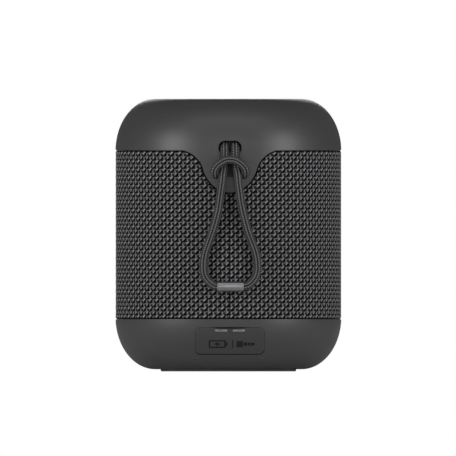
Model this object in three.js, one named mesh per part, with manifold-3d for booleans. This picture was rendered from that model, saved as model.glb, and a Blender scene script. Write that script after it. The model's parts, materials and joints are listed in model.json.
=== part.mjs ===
// A round, cloth-covered shower speaker with a girth-hitched wrist lanyard.
//
// Millimetres, +Z up. The origin is the centre of the foot's underside, where the speaker stands.
// The rear, with the lanyard and the port flap, faces -Y. The driver faces +Y.

import * as THREE from "three";
import { mergeVertices } from "three/addons/utils/BufferGeometryUtils.js";
import Module from "manifold-3d";

const wasm = await Module();
wasm.setup();

// ---- Driving dimensions ----

const bodyRadius = 50;
const bodyBottom = 0.95; // the housing's underside, held up by the foot
const bodyTop = 120.7;
const cornerWidth = 17.6; // the rounded ends are quarter ellipses
const cornerHeight = 23;
const wall = 2.4;
const fit = 0.3; // gap between neighbours

const sleeveBottom = 23;
const sleeveTop = 98;
const clothThickness = 0.7;
const grilleOuter = 48.9;
const grilleInner = 46.7;

const footRadius = 30;
const footThickness = 1.9;

const rimRadius = 30.3; // the shallow recess of the control pad
const rimDepth = 1.8;
const wellRadius = 26.5; // the well below the pad, with the switches in it
const wellFloor = 113;

// The tongue that hangs down from the cap at the rear: two cubic curves, shoulder to tip, as [x, z].
const tongueCurves = [
  [[23.3, sleeveTop], [17, sleeveTop], [12.9, 93.4], [12, 89.8]],
  [[12, 89.8], [10.6, 84.5], [6, 79.2], [0, 79.2]],
];
const tongueSteps = 8;
const skirtBottom = 78; // of the tube that the tongue is cut from

const pocketHalfWidth = 5.2;
const pocketBottom = 86;
const pocketTop = 102.2;
const pocketBack = -40;
const pocketCorner = 3.6;
// The two hollows, one each side, where the hitch goes round into the pocket.
const scoopCentre = [5.9, -52.2, 88.2];
const scoopRadii = [3.4, 9, 3.7];

const cordRadius = 1.95;
const pinRadius = 1.6;
const pinY = -46;
const pinZ = 96.3;
const pinSeat = 1.1; // how far each end goes into the pocket's side walls

// The loop swings on the line where its two legs leave the pocket.
const swingY = -52.3;
const swingZ = 84.4;
const hangRadius = 52.3; // of the hanging cord's centre line, clear of the cloth
const ferruleMiddle = [0.2, -52.5, 37.6];
const ferruleLength = 11.9;
const ferruleRadius = 2.25;

const flapHalfWidth = 15.3;
const flapBottom = 7.7;
const flapTop = 19.5;
const flapThickness = 2.6;
const flapCorner = 2.5;
const bayBack = -35.5;
const bayCorner = 2.8;
const bayWall = 1.8;

const portZ = 13.4;
const usbX = -5.6;
const auxX = 7;

const cellY = 6;
const cellZ = 14;
const cellRadius = 9.2;
const cellEnds = [-32.5, 32];

const cabinetBottom = 27;
const cabinetTop = 94;
const cabinetHalfWidth = 35;
const cabinetFront = 31;
const cabinetBack = -33;
const cabinetWall = 2.2;
const cabinetSplit = -19.7;

const driverZ = 61;
const driverHoleRadius = 22.9;
const radiatorY = -1;
const radiatorZ = 60.5;

const buttons = [
  { name: "play", x: 0, y: 0, radius: 6.5 },
  { name: "volume_up", x: 15.5, y: 0, radius: 4.5 },
  { name: "volume_down", x: -15.5, y: 0, radius: 4.5 },
  { name: "power", x: 0, y: -15.5, radius: 4.5 },
  { name: "pair", x: 0, y: 15.5, radius: 4.5 },
];
const buttonTravel = 0.5;
const padBottom = bodyTop - rimDepth + fit;
const padTop = bodyTop - fit;
const lightY = -24;
const boardTop = wellFloor + 1.6;
const stemBottom = boardTop + 2.3;
const wireHoleY = 22;
const wireHoleRadius = 2.2;

// Self-tapping screws: the holes in the pieces they pass are wider than the shank.
const screw = { head: 2.6, shank: 1.3, drive: 1.1, hole: 1.6, counterbore: 2.9 };

const roundSegments = 40;
const smallSegments = 16;

// ---- Materials ----

const finishes = {
  housing: { color: 0x3c3c3d, roughness: 0.5, metalness: 0 },
  cloth: { color: 0x2c2c2e, roughness: 0.95, metalness: 0 },
  rubber: { color: 0x303031, roughness: 0.75, metalness: 0 },
  button: { color: 0x3a3a3b, roughness: 0.6, metalness: 0 },
  lightPipe: { color: 0xe6e8ea, roughness: 0.3, metalness: 0 },
  innerPlastic: { color: 0x202224, roughness: 0.6, metalness: 0 },
  board: { color: 0x1f5a34, roughness: 0.5, metalness: 0 },
  switchPlastic: { color: 0x26282a, roughness: 0.5, metalness: 0 },
  screwSteel: { color: 0x9a9da0, roughness: 0.35, metalness: 1 },
  socketSteel: { color: 0xa8abae, roughness: 0.3, metalness: 1 },
  jackPlastic: { color: 0x161617, roughness: 0.45, metalness: 0 },
  ferrite: { color: 0x3f4146, roughness: 0.5, metalness: 0.8 },
  paper: { color: 0x1d1e20, roughness: 0.8, metalness: 0 },
  foam: { color: 0x2a2a2b, roughness: 0.95, metalness: 0 },
  aluminium: { color: 0xa9abad, roughness: 0.35, metalness: 1 },
  cellWrap: { color: 0x2f6f9e, roughness: 0.4, metalness: 0 },
  cord: { color: 0x3f3f40, roughness: 0.85, metalness: 0 },
};

const materials = {};
for (const [name, look] of Object.entries(finishes)) {
  materials[name] = new THREE.MeshStandardMaterial({ name, ...look });
}

// ---- Solids ----

// The volume inside a list of triangles, negative where they face inwards.
function signedVolume(positions, triangles) {
  const corner = (i) => new THREE.Vector3().fromArray(positions, 3 * triangles[i]);
  let six = 0;
  for (let i = 0; i < triangles.length; i += 3) {
    six += corner(i).dot(corner(i + 1).cross(corner(i + 2)));
  }
  return six / 6;
}

// A closed geometry as a solid that can be joined and cut.
function solid(geometry) {
  const bare = geometry.clone();
  bare.deleteAttribute("normal");
  bare.deleteAttribute("uv");
  const merged = mergeVertices(bare, 1e-4);
  const index = merged.index.array;
  const triangles = [];
  for (let i = 0; i < index.length; i += 3) {
    const [a, b, c] = index.slice(i, i + 3);
    if (a !== b && b !== c && c !== a) triangles.push(a, b, c);
  }
  const positions = merged.attributes.position.array;
  if (signedVolume(positions, triangles) < 0) triangles.reverse();
  const mesh = new wasm.Mesh({
    numProp: 3,
    vertProperties: new Float32Array(positions),
    triVerts: new Uint32Array(triangles),
  });
  return new wasm.Manifold(mesh);
}

function geometryOf(body) {
  const mesh = body.getMesh();
  const geometry = new THREE.BufferGeometry();
  geometry.setAttribute("position", new THREE.BufferAttribute(mesh.vertProperties, 3));
  geometry.setIndex(new THREE.BufferAttribute(mesh.triVerts, 1));
  geometry.computeVertexNormals();
  return geometry;
}

// A box between two corners.
function box(low, high) {
  const size = high.map((value, i) => value - low[i]);
  const geometry = new THREE.BoxGeometry(...size);
  geometry.translate(...low.map((value, i) => value + size[i] / 2));
  return solid(geometry);
}

// An upright cylinder.
function rod(x, y, radius, low, high, segments = smallSegments) {
  const geometry = new THREE.CylinderGeometry(radius, radius, high - low, segments);
  geometry.rotateX(Math.PI / 2);
  geometry.translate(x, y, (low + high) / 2);
  return solid(geometry);
}

// A cylinder along X.
function rodAlongX(y, z, radius, low, high, segments = smallSegments) {
  const geometry = new THREE.CylinderGeometry(radius, radius, high - low, segments);
  geometry.rotateZ(Math.PI / 2);
  geometry.translate((low + high) / 2, y, z);
  return solid(geometry);
}

// A cylinder along Y.
function rodAlongY(x, z, radius, low, high, segments = smallSegments) {
  const geometry = new THREE.CylinderGeometry(radius, radius, high - low, segments);
  geometry.translate(x, (low + high) / 2, z);
  return solid(geometry);
}

// A profile of [radius, height] points turned round the vertical axis.
function turned(profile, segments = roundSegments) {
  const points = profile.map(([radius, height]) => new THREE.Vector2(radius, height));
  const geometry = new THREE.LatheGeometry(points, segments);
  geometry.rotateX(Math.PI / 2);
  return solid(geometry);
}

function ring(inner, outer, low, high, segments = roundSegments) {
  return turned([[inner, low], [outer, low], [outer, high], [inner, high], [inner, low]], segments);
}

// A flat shape drawn in X and Z, given depth between two Y values.
function slabAlongY(shape, low, high, curveSegments = 6) {
  const depth = high - low;
  const geometry = new THREE.ExtrudeGeometry(shape, { depth, bevelEnabled: false, curveSegments });
  geometry.rotateX(Math.PI / 2);
  geometry.translate(0, high, 0);
  return solid(geometry);
}

// A flat shape drawn in Y and Z, given depth between two X values.
function slabAlongX(shape, low, high, curveSegments = 6) {
  const depth = high - low;
  const geometry = new THREE.ExtrudeGeometry(shape, { depth, bevelEnabled: false, curveSegments });
  geometry.rotateX(Math.PI / 2);
  geometry.rotateZ(Math.PI / 2);
  geometry.translate(low, 0, 0);
  return solid(geometry);
}

function ellipsoid(centre, radii) {
  const geometry = new THREE.SphereGeometry(1, 16, 10);
  geometry.scale(...radii);
  geometry.translate(...centre);
  return solid(geometry);
}

// A round cord along a smooth curve through the points.
function cordSolid(points, steps, sides = 8) {
  const section = new THREE.Shape();
  for (let i = 0; i < sides; i++) {
    const angle = (2 * Math.PI * i) / sides;
    const corner = [cordRadius * Math.cos(angle), cordRadius * Math.sin(angle)];
    if (i === 0) section.moveTo(...corner);
    else section.lineTo(...corner);
  }
  section.closePath();
  const curve = new THREE.CatmullRomCurve3(points.map((p) => new THREE.Vector3(...p)), false, "centripetal");
  return solid(new THREE.ExtrudeGeometry(section, { steps, extrudePath: curve, bevelEnabled: false }));
}

function unite(bodies) {
  return bodies.reduce((sum, body) => sum.add(body));
}

function cut(body, tools) {
  return tools.reduce((rest, tool) => rest.subtract(tool), body);
}

// ---- Shared outlines ----

// The quarter ellipse at the foot end, then at the top end, pulled in by an inset.
function cornerPoints(lowZ, highZ, inset, steps) {
  const points = [];
  const atTop = highZ > bodyTop / 2;
  const centre = atTop ? bodyTop - cornerHeight : bodyBottom + cornerHeight;
  const rise = cornerHeight - inset;
  const reach = cornerWidth - inset;
  const start = Math.asin(THREE.MathUtils.clamp((lowZ - centre) / rise, -1, 1));
  const end = Math.asin(THREE.MathUtils.clamp((highZ - centre) / rise, -1, 1));
  for (let i = 0; i <= steps; i++) {
    const angle = start + ((end - start) * i) / steps;
    points.push([bodyRadius - cornerWidth + reach * Math.cos(angle), centre + rise * Math.sin(angle)]);
  }
  return points;
}

// The tongue that hangs down from the cap, wider by a margin where it cuts its neighbours.
function tongueShape(margin, top) {
  const side = [];
  for (const [number, corners] of tongueCurves.entries()) {
    const curve = new THREE.CubicBezierCurve(...corners.map((corner) => new THREE.Vector2(...corner)));
    // the second curve starts where the first one ends
    for (let i = number; i <= tongueSteps; i++) {
      const tangent = curve.getTangent(i / tongueSteps);
      const outwards = new THREE.Vector2(-tangent.y, tangent.x).multiplyScalar(margin);
      side.push(curve.getPoint(i / tongueSteps).add(outwards));
    }
  }
  const shape = new THREE.Shape();
  shape.moveTo(side[0].x, top);
  side.forEach((p) => shape.lineTo(p.x, p.y));
  side.slice(0, -1).reverse().forEach((p) => shape.lineTo(-p.x, p.y));
  shape.lineTo(-side[0].x, top);
  shape.closePath();
  return shape;
}

function roundedRectangle(halfWidth, low, high, radius) {
  const shape = new THREE.Shape();
  shape.moveTo(halfWidth, low + radius);
  shape.lineTo(halfWidth, high - radius);
  shape.absarc(halfWidth - radius, high - radius, radius, 0, Math.PI / 2, false);
  shape.lineTo(-halfWidth + radius, high);
  shape.absarc(-halfWidth + radius, high - radius, radius, Math.PI / 2, Math.PI, false);
  shape.lineTo(-halfWidth, low + radius);
  shape.absarc(-halfWidth + radius, low + radius, radius, Math.PI, 1.5 * Math.PI, false);
  shape.lineTo(halfWidth - radius, low);
  shape.absarc(halfWidth - radius, low + radius, radius, 1.5 * Math.PI, 2 * Math.PI, false);
  return shape;
}

// An upright slot with round ends, drawn in Y and Z.
function slot(halfWidth, halfHeight) {
  const shape = new THREE.Shape();
  const straight = halfHeight - halfWidth;
  shape.absarc(radiatorY, radiatorZ + straight, halfWidth, 0, Math.PI, false);
  shape.absarc(radiatorY, radiatorZ - straight, halfWidth, Math.PI, 2 * Math.PI, false);
  shape.closePath();
  return shape;
}

// ---- Assembly ----

const speaker = new THREE.Group();
speaker.name = "shower_speaker";

function addPart(name, body, finish) {
  const mesh = new THREE.Mesh(geometryOf(body), materials[finish]);
  mesh.name = name;
  speaker.add(mesh);
  return mesh;
}

const fourCorners = [[1, 1], [-1, 1], [-1, -1], [1, -1]];
const capScrewPlaces = fourCorners.map(([x, y]) => [16.5 * x, 16.5 * y]);
const housingScrewPlaces = fourCorners.map(([x, y]) => [18 * x, y > 0 ? 21 : -15]);
const driverScrewPlaces = fourCorners.map(([x, z]) => [17.6 * x, driverZ + 17.6 * z]);

function topHousing() {
  const ceiling = 116.6;
  const low = sleeveTop + fit / 2;
  // from the axis along the well's floor, up over the rim, down the outside, and back inside the wall
  const cap = turned([
    [0, wellFloor],
    [wellRadius, wellFloor],
    [wellRadius, bodyTop - rimDepth],
    [rimRadius, bodyTop - rimDepth],
    [rimRadius, bodyTop],
    ...cornerPoints(low, bodyTop, 0, 7).reverse(),
    ...cornerPoints(low, ceiling, wall, 4),
    [wellRadius + 2, ceiling],
    [wellRadius + 2, wellFloor - 2],
    [0, wellFloor - 2],
  ]);

  const skirt = ring(grilleInner, bodyRadius, skirtBottom, sleeveTop + 1.2);
  const tongue = skirt.intersect(slabAlongY(tongueShape(0, sleeveTop + 1.1), -60, -30));
  const wallOutline = roundedRectangle(pocketHalfWidth + 5, pocketBottom - 4.5, pocketTop + 2, 5);
  const pocketBlock = slabAlongY(wallOutline, -48.6, pocketBack + 2, 3);
  const pocketWalls = pocketBlock.intersect(slabAlongY(tongueShape(0, 110), -60, -30));
  const bosses = capScrewPlaces.map(([x, y]) => rod(x, y, 3.2, cabinetTop + fit, wellFloor - 1, 12));

  const pocketOutline = roundedRectangle(pocketHalfWidth, pocketBottom, pocketTop, pocketCorner);
  const pocket = slabAlongY(pocketOutline, -60, pocketBack);
  const scoops = [-1, 1].map((side) =>
    ellipsoid([side * scoopCentre[0], scoopCentre[1], scoopCentre[2]], scoopRadii),
  );
  const pinHoleEnd = pocketHalfWidth + pinSeat + 0.2;
  const pinHole = rodAlongX(pinY, pinZ, pinRadius + 0.1, -pinHoleEnd, pinHoleEnd);
  const screwHoles = capScrewPlaces.map(([x, y]) => rod(x, y, screw.hole, 90, wellFloor + 1, 8));
  const wireHole = rod(0, wireHoleY, wireHoleRadius, wellFloor - 3, wellFloor + 1);
  const body = unite([cap, tongue, pocketWalls, ...bosses]);
  return cut(body, [pocket, ...scoops, pinHole, wireHole, ...screwHoles]);
}

function bottomHousing() {
  const floor = 3.4;
  const outer = cornerPoints(bodyBottom, sleeveBottom - fit / 2, 0, 7);
  const inner = cornerPoints(floor, sleeveBottom - fit / 2, wall, 4);
  const profile = [
    [0, footThickness + fit],
    [footRadius + fit, footThickness + fit],
    [footRadius + fit, bodyBottom],
    ...outer,
    ...inner.reverse(),
    [0, floor],
  ];
  const shell = turned(profile);

  const bayHalfWidth = flapHalfWidth + fit;
  const bayOutline = roundedRectangle(bayHalfWidth, flapBottom - fit, flapTop + fit, bayCorner);
  const tubOutline = roundedRectangle(
    bayHalfWidth + bayWall,
    flapBottom - fit - bayWall,
    flapTop + fit + bayWall,
    bayCorner + 1,
  );
  const round = turned([[0, 0], ...cornerPoints(bodyBottom, sleeveBottom - fit / 2, 1, 7), [0, 22]]);
  const tub = slabAlongY(tubOutline, -60, bayBack + 2).intersect(round);
  const bay = slabAlongY(bayOutline, -60, bayBack);
  const socketHoles = [
    box([usbX - 4.6, bayBack - 1, portZ - 2.2], [usbX + 4.6, bayBack + 3, portZ + 2.2]),
    rodAlongY(auxX, portZ, 3.6, bayBack - 1, bayBack + 3),
  ];
  const bosses = housingScrewPlaces.map(([x, y]) => rod(x, y, 4, floor - 0.5, cabinetBottom - fit, 12));
  const headHoles = housingScrewPlaces.map(([x, y]) => rod(x, y, screw.counterbore, 0, 5.2, 12));
  const screwHoles = housingScrewPlaces.map(([x, y]) => rod(x, y, screw.hole, 4, cabinetBottom + 1, 8));
  const body = unite([shell, tub, ...bosses]);
  return cut(body, [bay, ...socketHoles, ...headHoles, ...screwHoles]);
}

function fabricSleeve() {
  const tube = ring(
    bodyRadius - clothThickness,
    bodyRadius,
    sleeveBottom + fit / 2,
    sleeveTop - fit / 2,
  );
  return tube.subtract(slabAlongY(tongueShape(fit, sleeveTop + 5), -60, -30));
}

// A stiff tube that carries the cloth, open in front of the driver and beside both radiators.
function grilleFrame() {
  const tube = ring(grilleInner, grilleOuter, sleeveBottom + fit / 2, sleeveTop - fit / 2);
  const openings = [];
  const rows = 4;
  const slotHeight = 10;
  const slotWidth = 42;
  const rib = 3;
  for (const facing of [0, 90, 270]) {
    for (let row = 0; row < rows; row++) {
      const z = radiatorZ + (row - (rows - 1) / 2) * (slotHeight + rib);
      const geometry = new THREE.BoxGeometry(slotWidth, 40, slotHeight);
      geometry.translate(0, bodyRadius, 0);
      geometry.rotateZ(THREE.MathUtils.degToRad(facing));
      geometry.translate(0, 0, z);
      openings.push(solid(geometry));
    }
  }
  openings.push(slabAlongY(tongueShape(fit, sleeveTop + 5), -60, -30));
  return cut(tube, openings);
}

function footPad() {
  return rod(0, 0, footRadius, 0, footThickness, roundSegments);
}

// ---- Controls ----

function controlPad() {
  const disc = rod(0, 0, rimRadius - fit, padBottom, padTop, roundSegments);
  const holes = buttons.map((b) => rod(b.x, b.y, b.radius + fit, padBottom - 1, padTop + 1, 16));
  const lightHole = rod(0, lightY, 1.3, padBottom - 1, padTop + 1, 12);
  return cut(disc, [...holes, lightHole]);
}

function buttonBody(b) {
  const cap = rod(b.x, b.y, b.radius, padBottom - 0.6, bodyTop - 0.05, 16);
  const flange = rod(b.x, b.y, b.radius + 1, padBottom - 1.1, padBottom - fit, 16);
  const stem = rod(b.x, b.y, 1.5, stemBottom, padBottom - 1, 8);
  return unite([cap, flange, stem]);
}

function controlBoard() {
  const disc = rod(0, 0, wellRadius - fit, wellFloor + 0.1, boardTop, roundSegments);
  const holes = capScrewPlaces.map(([x, y]) => rod(x, y, screw.hole, wellFloor - 1, boardTop + 1, 8));
  const wireHole = rod(0, wireHoleY, wireHoleRadius, wellFloor - 1, boardTop + 1, 12);
  return cut(disc, [...holes, wireHole]);
}

function tactSwitch(b) {
  const base = box([b.x - 2.6, b.y - 2.6, boardTop + 0.1], [b.x + 2.6, b.y + 2.6, boardTop + 1.2]);
  const dome = rod(b.x, b.y, 1.3, boardTop + 1, stemBottom - buttonTravel - 0.1, 12);
  return base.add(dome);
}

function capScrew([x, y]) {
  const head = rod(x, y, screw.head, boardTop + 0.1, boardTop + 1.9, 12);
  const shank = rod(x, y, screw.shank, cabinetTop - 6, boardTop + 1, 8);
  const drive = rod(x, y, screw.drive, boardTop + 1.1, boardTop + 3, 6);
  return head.add(shank).subtract(drive);
}

function housingScrew([x, y]) {
  const head = rod(x, y, screw.head, 3.2, 5, 12);
  const shank = rod(x, y, screw.shank, 4, cabinetBottom + 6, 8);
  const drive = rod(x, y, screw.drive, 2, 3.9, 6);
  return head.add(shank).subtract(drive);
}

// ---- Ports ----

function portFlap() {
  const outer = cornerPoints(5, 22.5, 0, 8);
  const inner = outer.map(([radius, height]) => [radius - flapThickness, height]);
  const skin = turned([...outer, ...inner.reverse(), outer[0]], 72);
  const outline = roundedRectangle(flapHalfWidth, flapBottom, flapTop, flapCorner);
  const nailNotch = ellipsoid([0, -49.9, flapTop - 0.6], [16, 2, 1.9]);
  return skin.intersect(slabAlongY(outline, -60, -30)).subtract(nailNotch);
}

function usbSocket() {
  const front = bayBack + 0.2;
  const shell = box([usbX - 4.2, front, portZ - 1.8], [usbX + 4.2, front + 7.3, portZ + 1.8]);
  // a wide mouth with its two lower corners cut off
  const halfWidth = 3.5;
  const corner = 0.9;
  const mouth = new THREE.Shape();
  mouth.moveTo(usbX - halfWidth, portZ + 1.2);
  mouth.lineTo(usbX - halfWidth, portZ - 1.2 + corner);
  mouth.lineTo(usbX - halfWidth + corner, portZ - 1.2);
  mouth.lineTo(usbX + halfWidth - corner, portZ - 1.2);
  mouth.lineTo(usbX + halfWidth, portZ - 1.2 + corner);
  mouth.lineTo(usbX + halfWidth, portZ + 1.2);
  mouth.closePath();
  const tongue = box([usbX - 2.4, front + 0.7, portZ + 0.1], [usbX + 2.4, front + 6.8, portZ + 0.7]);
  return shell.subtract(slabAlongY(mouth, bayBack - 1, bayBack + 6)).add(tongue);
}

function auxSocket() {
  const barrel = rodAlongY(auxX, portZ, 3.2, bayBack + 0.2, bayBack + 3);
  const block = box([auxX - 3, bayBack + 2.5, portZ - 2.2], [auxX + 3, bayBack + 13, portZ + 2.6]);
  return barrel.add(block).subtract(rodAlongY(auxX, portZ, 1.8, bayBack - 1, bayBack + 12, 16));
}

function mainBoard() {
  return box([-24, bayBack + 3.4, portZ - 4], [24, -19.5, portZ - 2.4]);
}

// ---- Battery ----

function batteryCell() {
  const can = rodAlongX(cellY, cellZ, cellRadius, ...cellEnds, 28);
  const contact = rodAlongX(cellY, cellZ, 3.2, cellEnds[1] - 1, cellEnds[1] + 1.2);
  return can.add(contact);
}

function batteryHolder() {
  const cradle = cellRadius + fit;
  const tray = box([-29, cellY - cradle - fit, 3.7], [29, cellY + cradle + fit, 9]);
  return tray.subtract(rodAlongX(cellY, cellZ, cradle, -40, 40, 28));
}

// ---- Lanyard ----

const onCloth = (x, z) => [x, -Math.sqrt(hangRadius ** 2 - x ** 2), z];

const leftLeg = [
  [-3.5, swingY, swingZ],
  onCloth(-4, 80.6),
  onCloth(-5.1, 72.5),
  onCloth(-6.4, 66.6),
  onCloth(-8.05, 61.1),
  onCloth(-9.6, 56.6),
  onCloth(-10.95, 52.4),
  onCloth(-11.6, 48),
  onCloth(-11.5, 44.2),
  onCloth(-10.7, 41.6),
  [-9.4, -51.55, 39.85],
  [-7.95, -52.1, 38.5],
  [-7.15, -52.4, 37.95],
  [-6.4, -52.5, 37.72],
];
const rightLeg = [
  [3.7, swingY, swingZ],
  onCloth(4.15, 80.6),
  onCloth(5.3, 72.5),
  onCloth(6.7, 66.6),
  onCloth(8.2, 61.1),
  onCloth(9.9, 56.6),
  onCloth(11.3, 52.4),
  onCloth(12, 48),
  onCloth(11.95, 44.2),
  onCloth(11.2, 41.75),
  [9.95, -51.45, 40],
  [8.45, -52.05, 38.55],
  [7.6, -52.35, 37.98],
  [6.85, -52.5, 37.72],
];

// The cord's centre line over the pin, from its front to its back, as [x, y, z].
function overPin(side, x) {
  const reach = pinRadius + cordRadius + 0.05;
  const points = [];
  for (let i = 0; i <= 6; i++) {
    const angle = (Math.PI * i) / 6;
    points.push([side * x, pinY - reach * Math.cos(angle), pinZ + reach * Math.sin(angle)]);
  }
  return points;
}

// Half of the hitch: up in front of the pin, over it, down behind it, and out under the front band.
function hitchHalf(side, legX) {
  return [
    [side * (legX - 0.15), -52.25, 86.7],
    [side * (legX - 0.3), -52, 88],
    [side * 3, -51.4, 89.6],
    [side * 2.75, -50.5, 91.6],
    [side * 2.5, -49.75, 93.8],
    ...overPin(side, 2.4),
    [side * 2.5, -42.35, 94.2],
    [side * 2.75, -42.8, 92.1],
    [side * 2.95, -43.85, 90.5],
    [side * 3.7, -45.7, 89.2],
    [side * 5.05, -47.9, 87.95],
    [side * 6, -49.7, 87.3],
    [side * 6.6, -51.3, 87.4],
    [side * 6.9, -52.7, 88.4],
    [side * 6.65, -53.5, 89.9],
    [side * 5.5, -53.8, 91.45],
    [side * 3.8, -53.85, 92.75],
    [side * 1.95, -53.7, 93.6],
  ];
}

function lanyardHitch() {
  const left = hitchHalf(-1, -leftLeg[0][0]);
  const right = hitchHalf(1, rightLeg[0][0]);
  const apex = [0, -53.6, 93.85];
  return cordSolid([...left, apex, ...right.reverse()], 60);
}

function lanyardLeg(points) {
  const knuckle = new THREE.SphereGeometry(cordRadius, 8, 6);
  knuckle.translate(...points[0]);
  return cordSolid(points, 18).add(solid(knuckle));
}

function lanyardFerrule() {
  const [x, y, z] = ferruleMiddle;
  return rodAlongX(y, z, ferruleRadius, x - ferruleLength / 2, x + ferruleLength / 2, 24);
}

function lanyardPin() {
  const end = pocketHalfWidth + pinSeat;
  return rodAlongX(pinY, pinZ, pinRadius, -end, end);
}

// ---- Acoustic cabinet ----

function cabinetOutline(inset) {
  const shape = new THREE.Shape();
  const chamfer = 8 - 0.6 * inset;
  const wide = cabinetHalfWidth - inset;
  const front = cabinetFront - inset;
  const back = cabinetBack + inset;
  shape.moveTo(wide, back + chamfer);
  shape.lineTo(wide, front - chamfer);
  shape.lineTo(wide - chamfer, front);
  shape.lineTo(-wide + chamfer, front);
  shape.lineTo(-wide, front - chamfer);
  shape.lineTo(-wide, back + chamfer);
  shape.lineTo(-wide + chamfer, back);
  shape.lineTo(wide - chamfer, back);
  shape.closePath();
  return shape;
}

function upright(shape, low, high) {
  const geometry = new THREE.ExtrudeGeometry(shape, { depth: high - low, bevelEnabled: false });
  geometry.translate(0, 0, low);
  return solid(geometry);
}

function cabinet() {
  const outer = upright(cabinetOutline(0), cabinetBottom, cabinetTop);
  const inner = upright(cabinetOutline(cabinetWall), cabinetBottom + cabinetWall, cabinetTop - cabinetWall);
  const driverHole = rodAlongY(0, driverZ, driverHoleRadius, 20, 40, 32);
  const radiatorHole = slabAlongX(slot(16.5, 25.5), -50, 50, 8);
  const screws = [
    ...capScrewPlaces.map(([x, y]) => rod(x, y, screw.hole, 80, 100, 8)),
    ...housingScrewPlaces.map(([x, y]) => rod(x, y, screw.hole, 20, 40, 8)),
    ...driverScrewPlaces.map(([x, z]) => rodAlongY(x, z, 1.2, 25, 35, 8)),
  ];
  return cut(outer, [inner, driverHole, radiatorHole, ...screws]);
}

function slice(body, low, high) {
  return body.intersect(box([-80, low, 0], [80, high, 150]));
}

// ---- Driver, turned about an axis along Y ----

// A profile of [radius, distance in front of the cabinet] points.
function driverTurned(profile, segments = 20) {
  const points = profile.map(([radius, ahead]) => new THREE.Vector2(radius, ahead));
  const geometry = new THREE.LatheGeometry(points, segments);
  geometry.translate(0, cabinetFront, driverZ);
  return solid(geometry);
}

function driverGasket() {
  const foamRing = driverTurned([[23, 0.1], [26.6, 0.1], [26.6, 0.8], [23, 0.8], [23, 0.1]]);
  return cut(foamRing, driverScrewPlaces.map(([x, z]) => rodAlongY(x, z, 1.2, 30, 36, 8)));
}

function driverBasket() {
  const profile = [
    [22, 2.3],
    [22, 0.9],
    [14.2, -11.4],
    [8.3, -11.4],
    [8.3, -12.6],
    [15.2, -12.6],
    [22.6, -1],
    [22.6, 0.9],
    [26.8, 0.9],
    [26.8, 2.3],
    [22, 2.3],
  ];
  const frame = driverTurned(profile);
  return cut(frame, driverScrewPlaces.map(([x, z]) => rodAlongY(x, z, 1.2, 30, 36, 8)));
}

function driverMagnet() {
  return driverTurned([
    [0, -22.9],
    [15, -22.9],
    [15, -12.9],
    [8, -12.9],
    [8, -20.4],
    [6, -20.4],
    [6, -12.9],
    [0, -12.9],
  ]);
}

function driverCone() {
  return driverTurned([
    [0, -4],
    [5, -5],
    [6.7, -6.6],
    [6.7, -16.4],
    [7.2, -16.4],
    [7.4, -6.8],
    [18.3, -0.4],
    [18.3, 0.4],
    [7.2, -5.8],
    [5.2, -4.4],
    [0, -3.4],
  ]);
}

function halfRoll(middle, radius) {
  const points = [];
  for (let i = 0; i <= 5; i++) {
    const angle = (Math.PI * i) / 5;
    points.push([middle + radius * Math.cos(angle), 0.6 + radius * Math.sin(angle)]);
  }
  return points;
}

function driverSurround() {
  const outer = halfRoll(20.2, 1.6);
  const inner = halfRoll(20.2, 1.2);
  return driverTurned([...outer, ...inner.reverse(), outer[0]]);
}

function driverScrew([x, z]) {
  const head = rodAlongY(x, z, 2, cabinetFront + 2.4, cabinetFront + 3.7, 14);
  const shank = rodAlongY(x, z, 0.95, cabinetFront - 6, cabinetFront + 3, 8);
  return head.add(shank);
}

// ---- Passive radiators ----

function radiator(side) {
  const face = side * cabinetHalfWidth;
  const layer = (shape, low, high) => {
    const ends = [face + side * low, face + side * high].sort((a, b) => a - b);
    return slabAlongX(shape, ...ends, 8);
  };
  const ringOf = (halfWidth, halfHeight, inset, low, high) =>
    layer(slot(halfWidth, halfHeight), low, high).subtract(
      layer(slot(halfWidth - inset, halfHeight - inset), low - 1, high + 1),
    );
  return {
    frame: ringOf(20, 29, 3.4, 0.2, 1.6),
    surround: ringOf(16.3, 25.3, 3.4, 0.4, 1.5),
    plate: layer(slot(12.6, 21.6), -0.6, 1.8),
  };
}

// ---- Build ----

addPart("top_housing", topHousing(), "housing");
addPart("bottom_housing", bottomHousing(), "housing");
addPart("fabric_sleeve", fabricSleeve(), "cloth");
addPart("grille_frame", grilleFrame(), "innerPlastic");
addPart("foot_pad", footPad(), "rubber");

addPart("control_pad", controlPad(), "rubber");
addPart("status_light_pipe", rod(0, lightY, 1, boardTop + 0.6, padTop, 12), "lightPipe");
addPart("control_board", controlBoard(), "board");
for (const b of buttons) {
  addPart(`button_${b.name}`, buttonBody(b), "button");
  addPart(`switch_${b.name}`, tactSwitch(b), "switchPlastic");
}
capScrewPlaces.forEach((place, i) => addPart(`cap_screw_${i + 1}`, capScrew(place), "screwSteel"));
housingScrewPlaces.forEach((place, i) => {
  addPart(`housing_screw_${i + 1}`, housingScrew(place), "screwSteel");
});

addPart("port_flap", portFlap(), "rubber");
addPart("usb_socket", usbSocket(), "socketSteel");
addPart("aux_socket", auxSocket(), "jackPlastic");
addPart("main_board", mainBoard(), "board");
addPart("battery_cell", batteryCell(), "cellWrap");
addPart("battery_holder", batteryHolder(), "innerPlastic");

addPart("lanyard_pin", lanyardPin(), "housing");
addPart("lanyard_hitch", lanyardHitch(), "cord");
addPart("lanyard_cord_left", lanyardLeg(leftLeg), "cord");
addPart("lanyard_cord_right", lanyardLeg(rightLeg), "cord");
addPart("lanyard_ferrule", lanyardFerrule(), "aluminium");

const wholeCabinet = cabinet();
addPart("cabinet_front", slice(wholeCabinet, cabinetSplit + 0.6, 60), "innerPlastic");
addPart("cabinet_gasket", slice(wholeCabinet, cabinetSplit - 0.4, cabinetSplit + 0.4), "foam");
addPart("cabinet_rear", slice(wholeCabinet, -60, cabinetSplit - 0.6), "innerPlastic");

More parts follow.
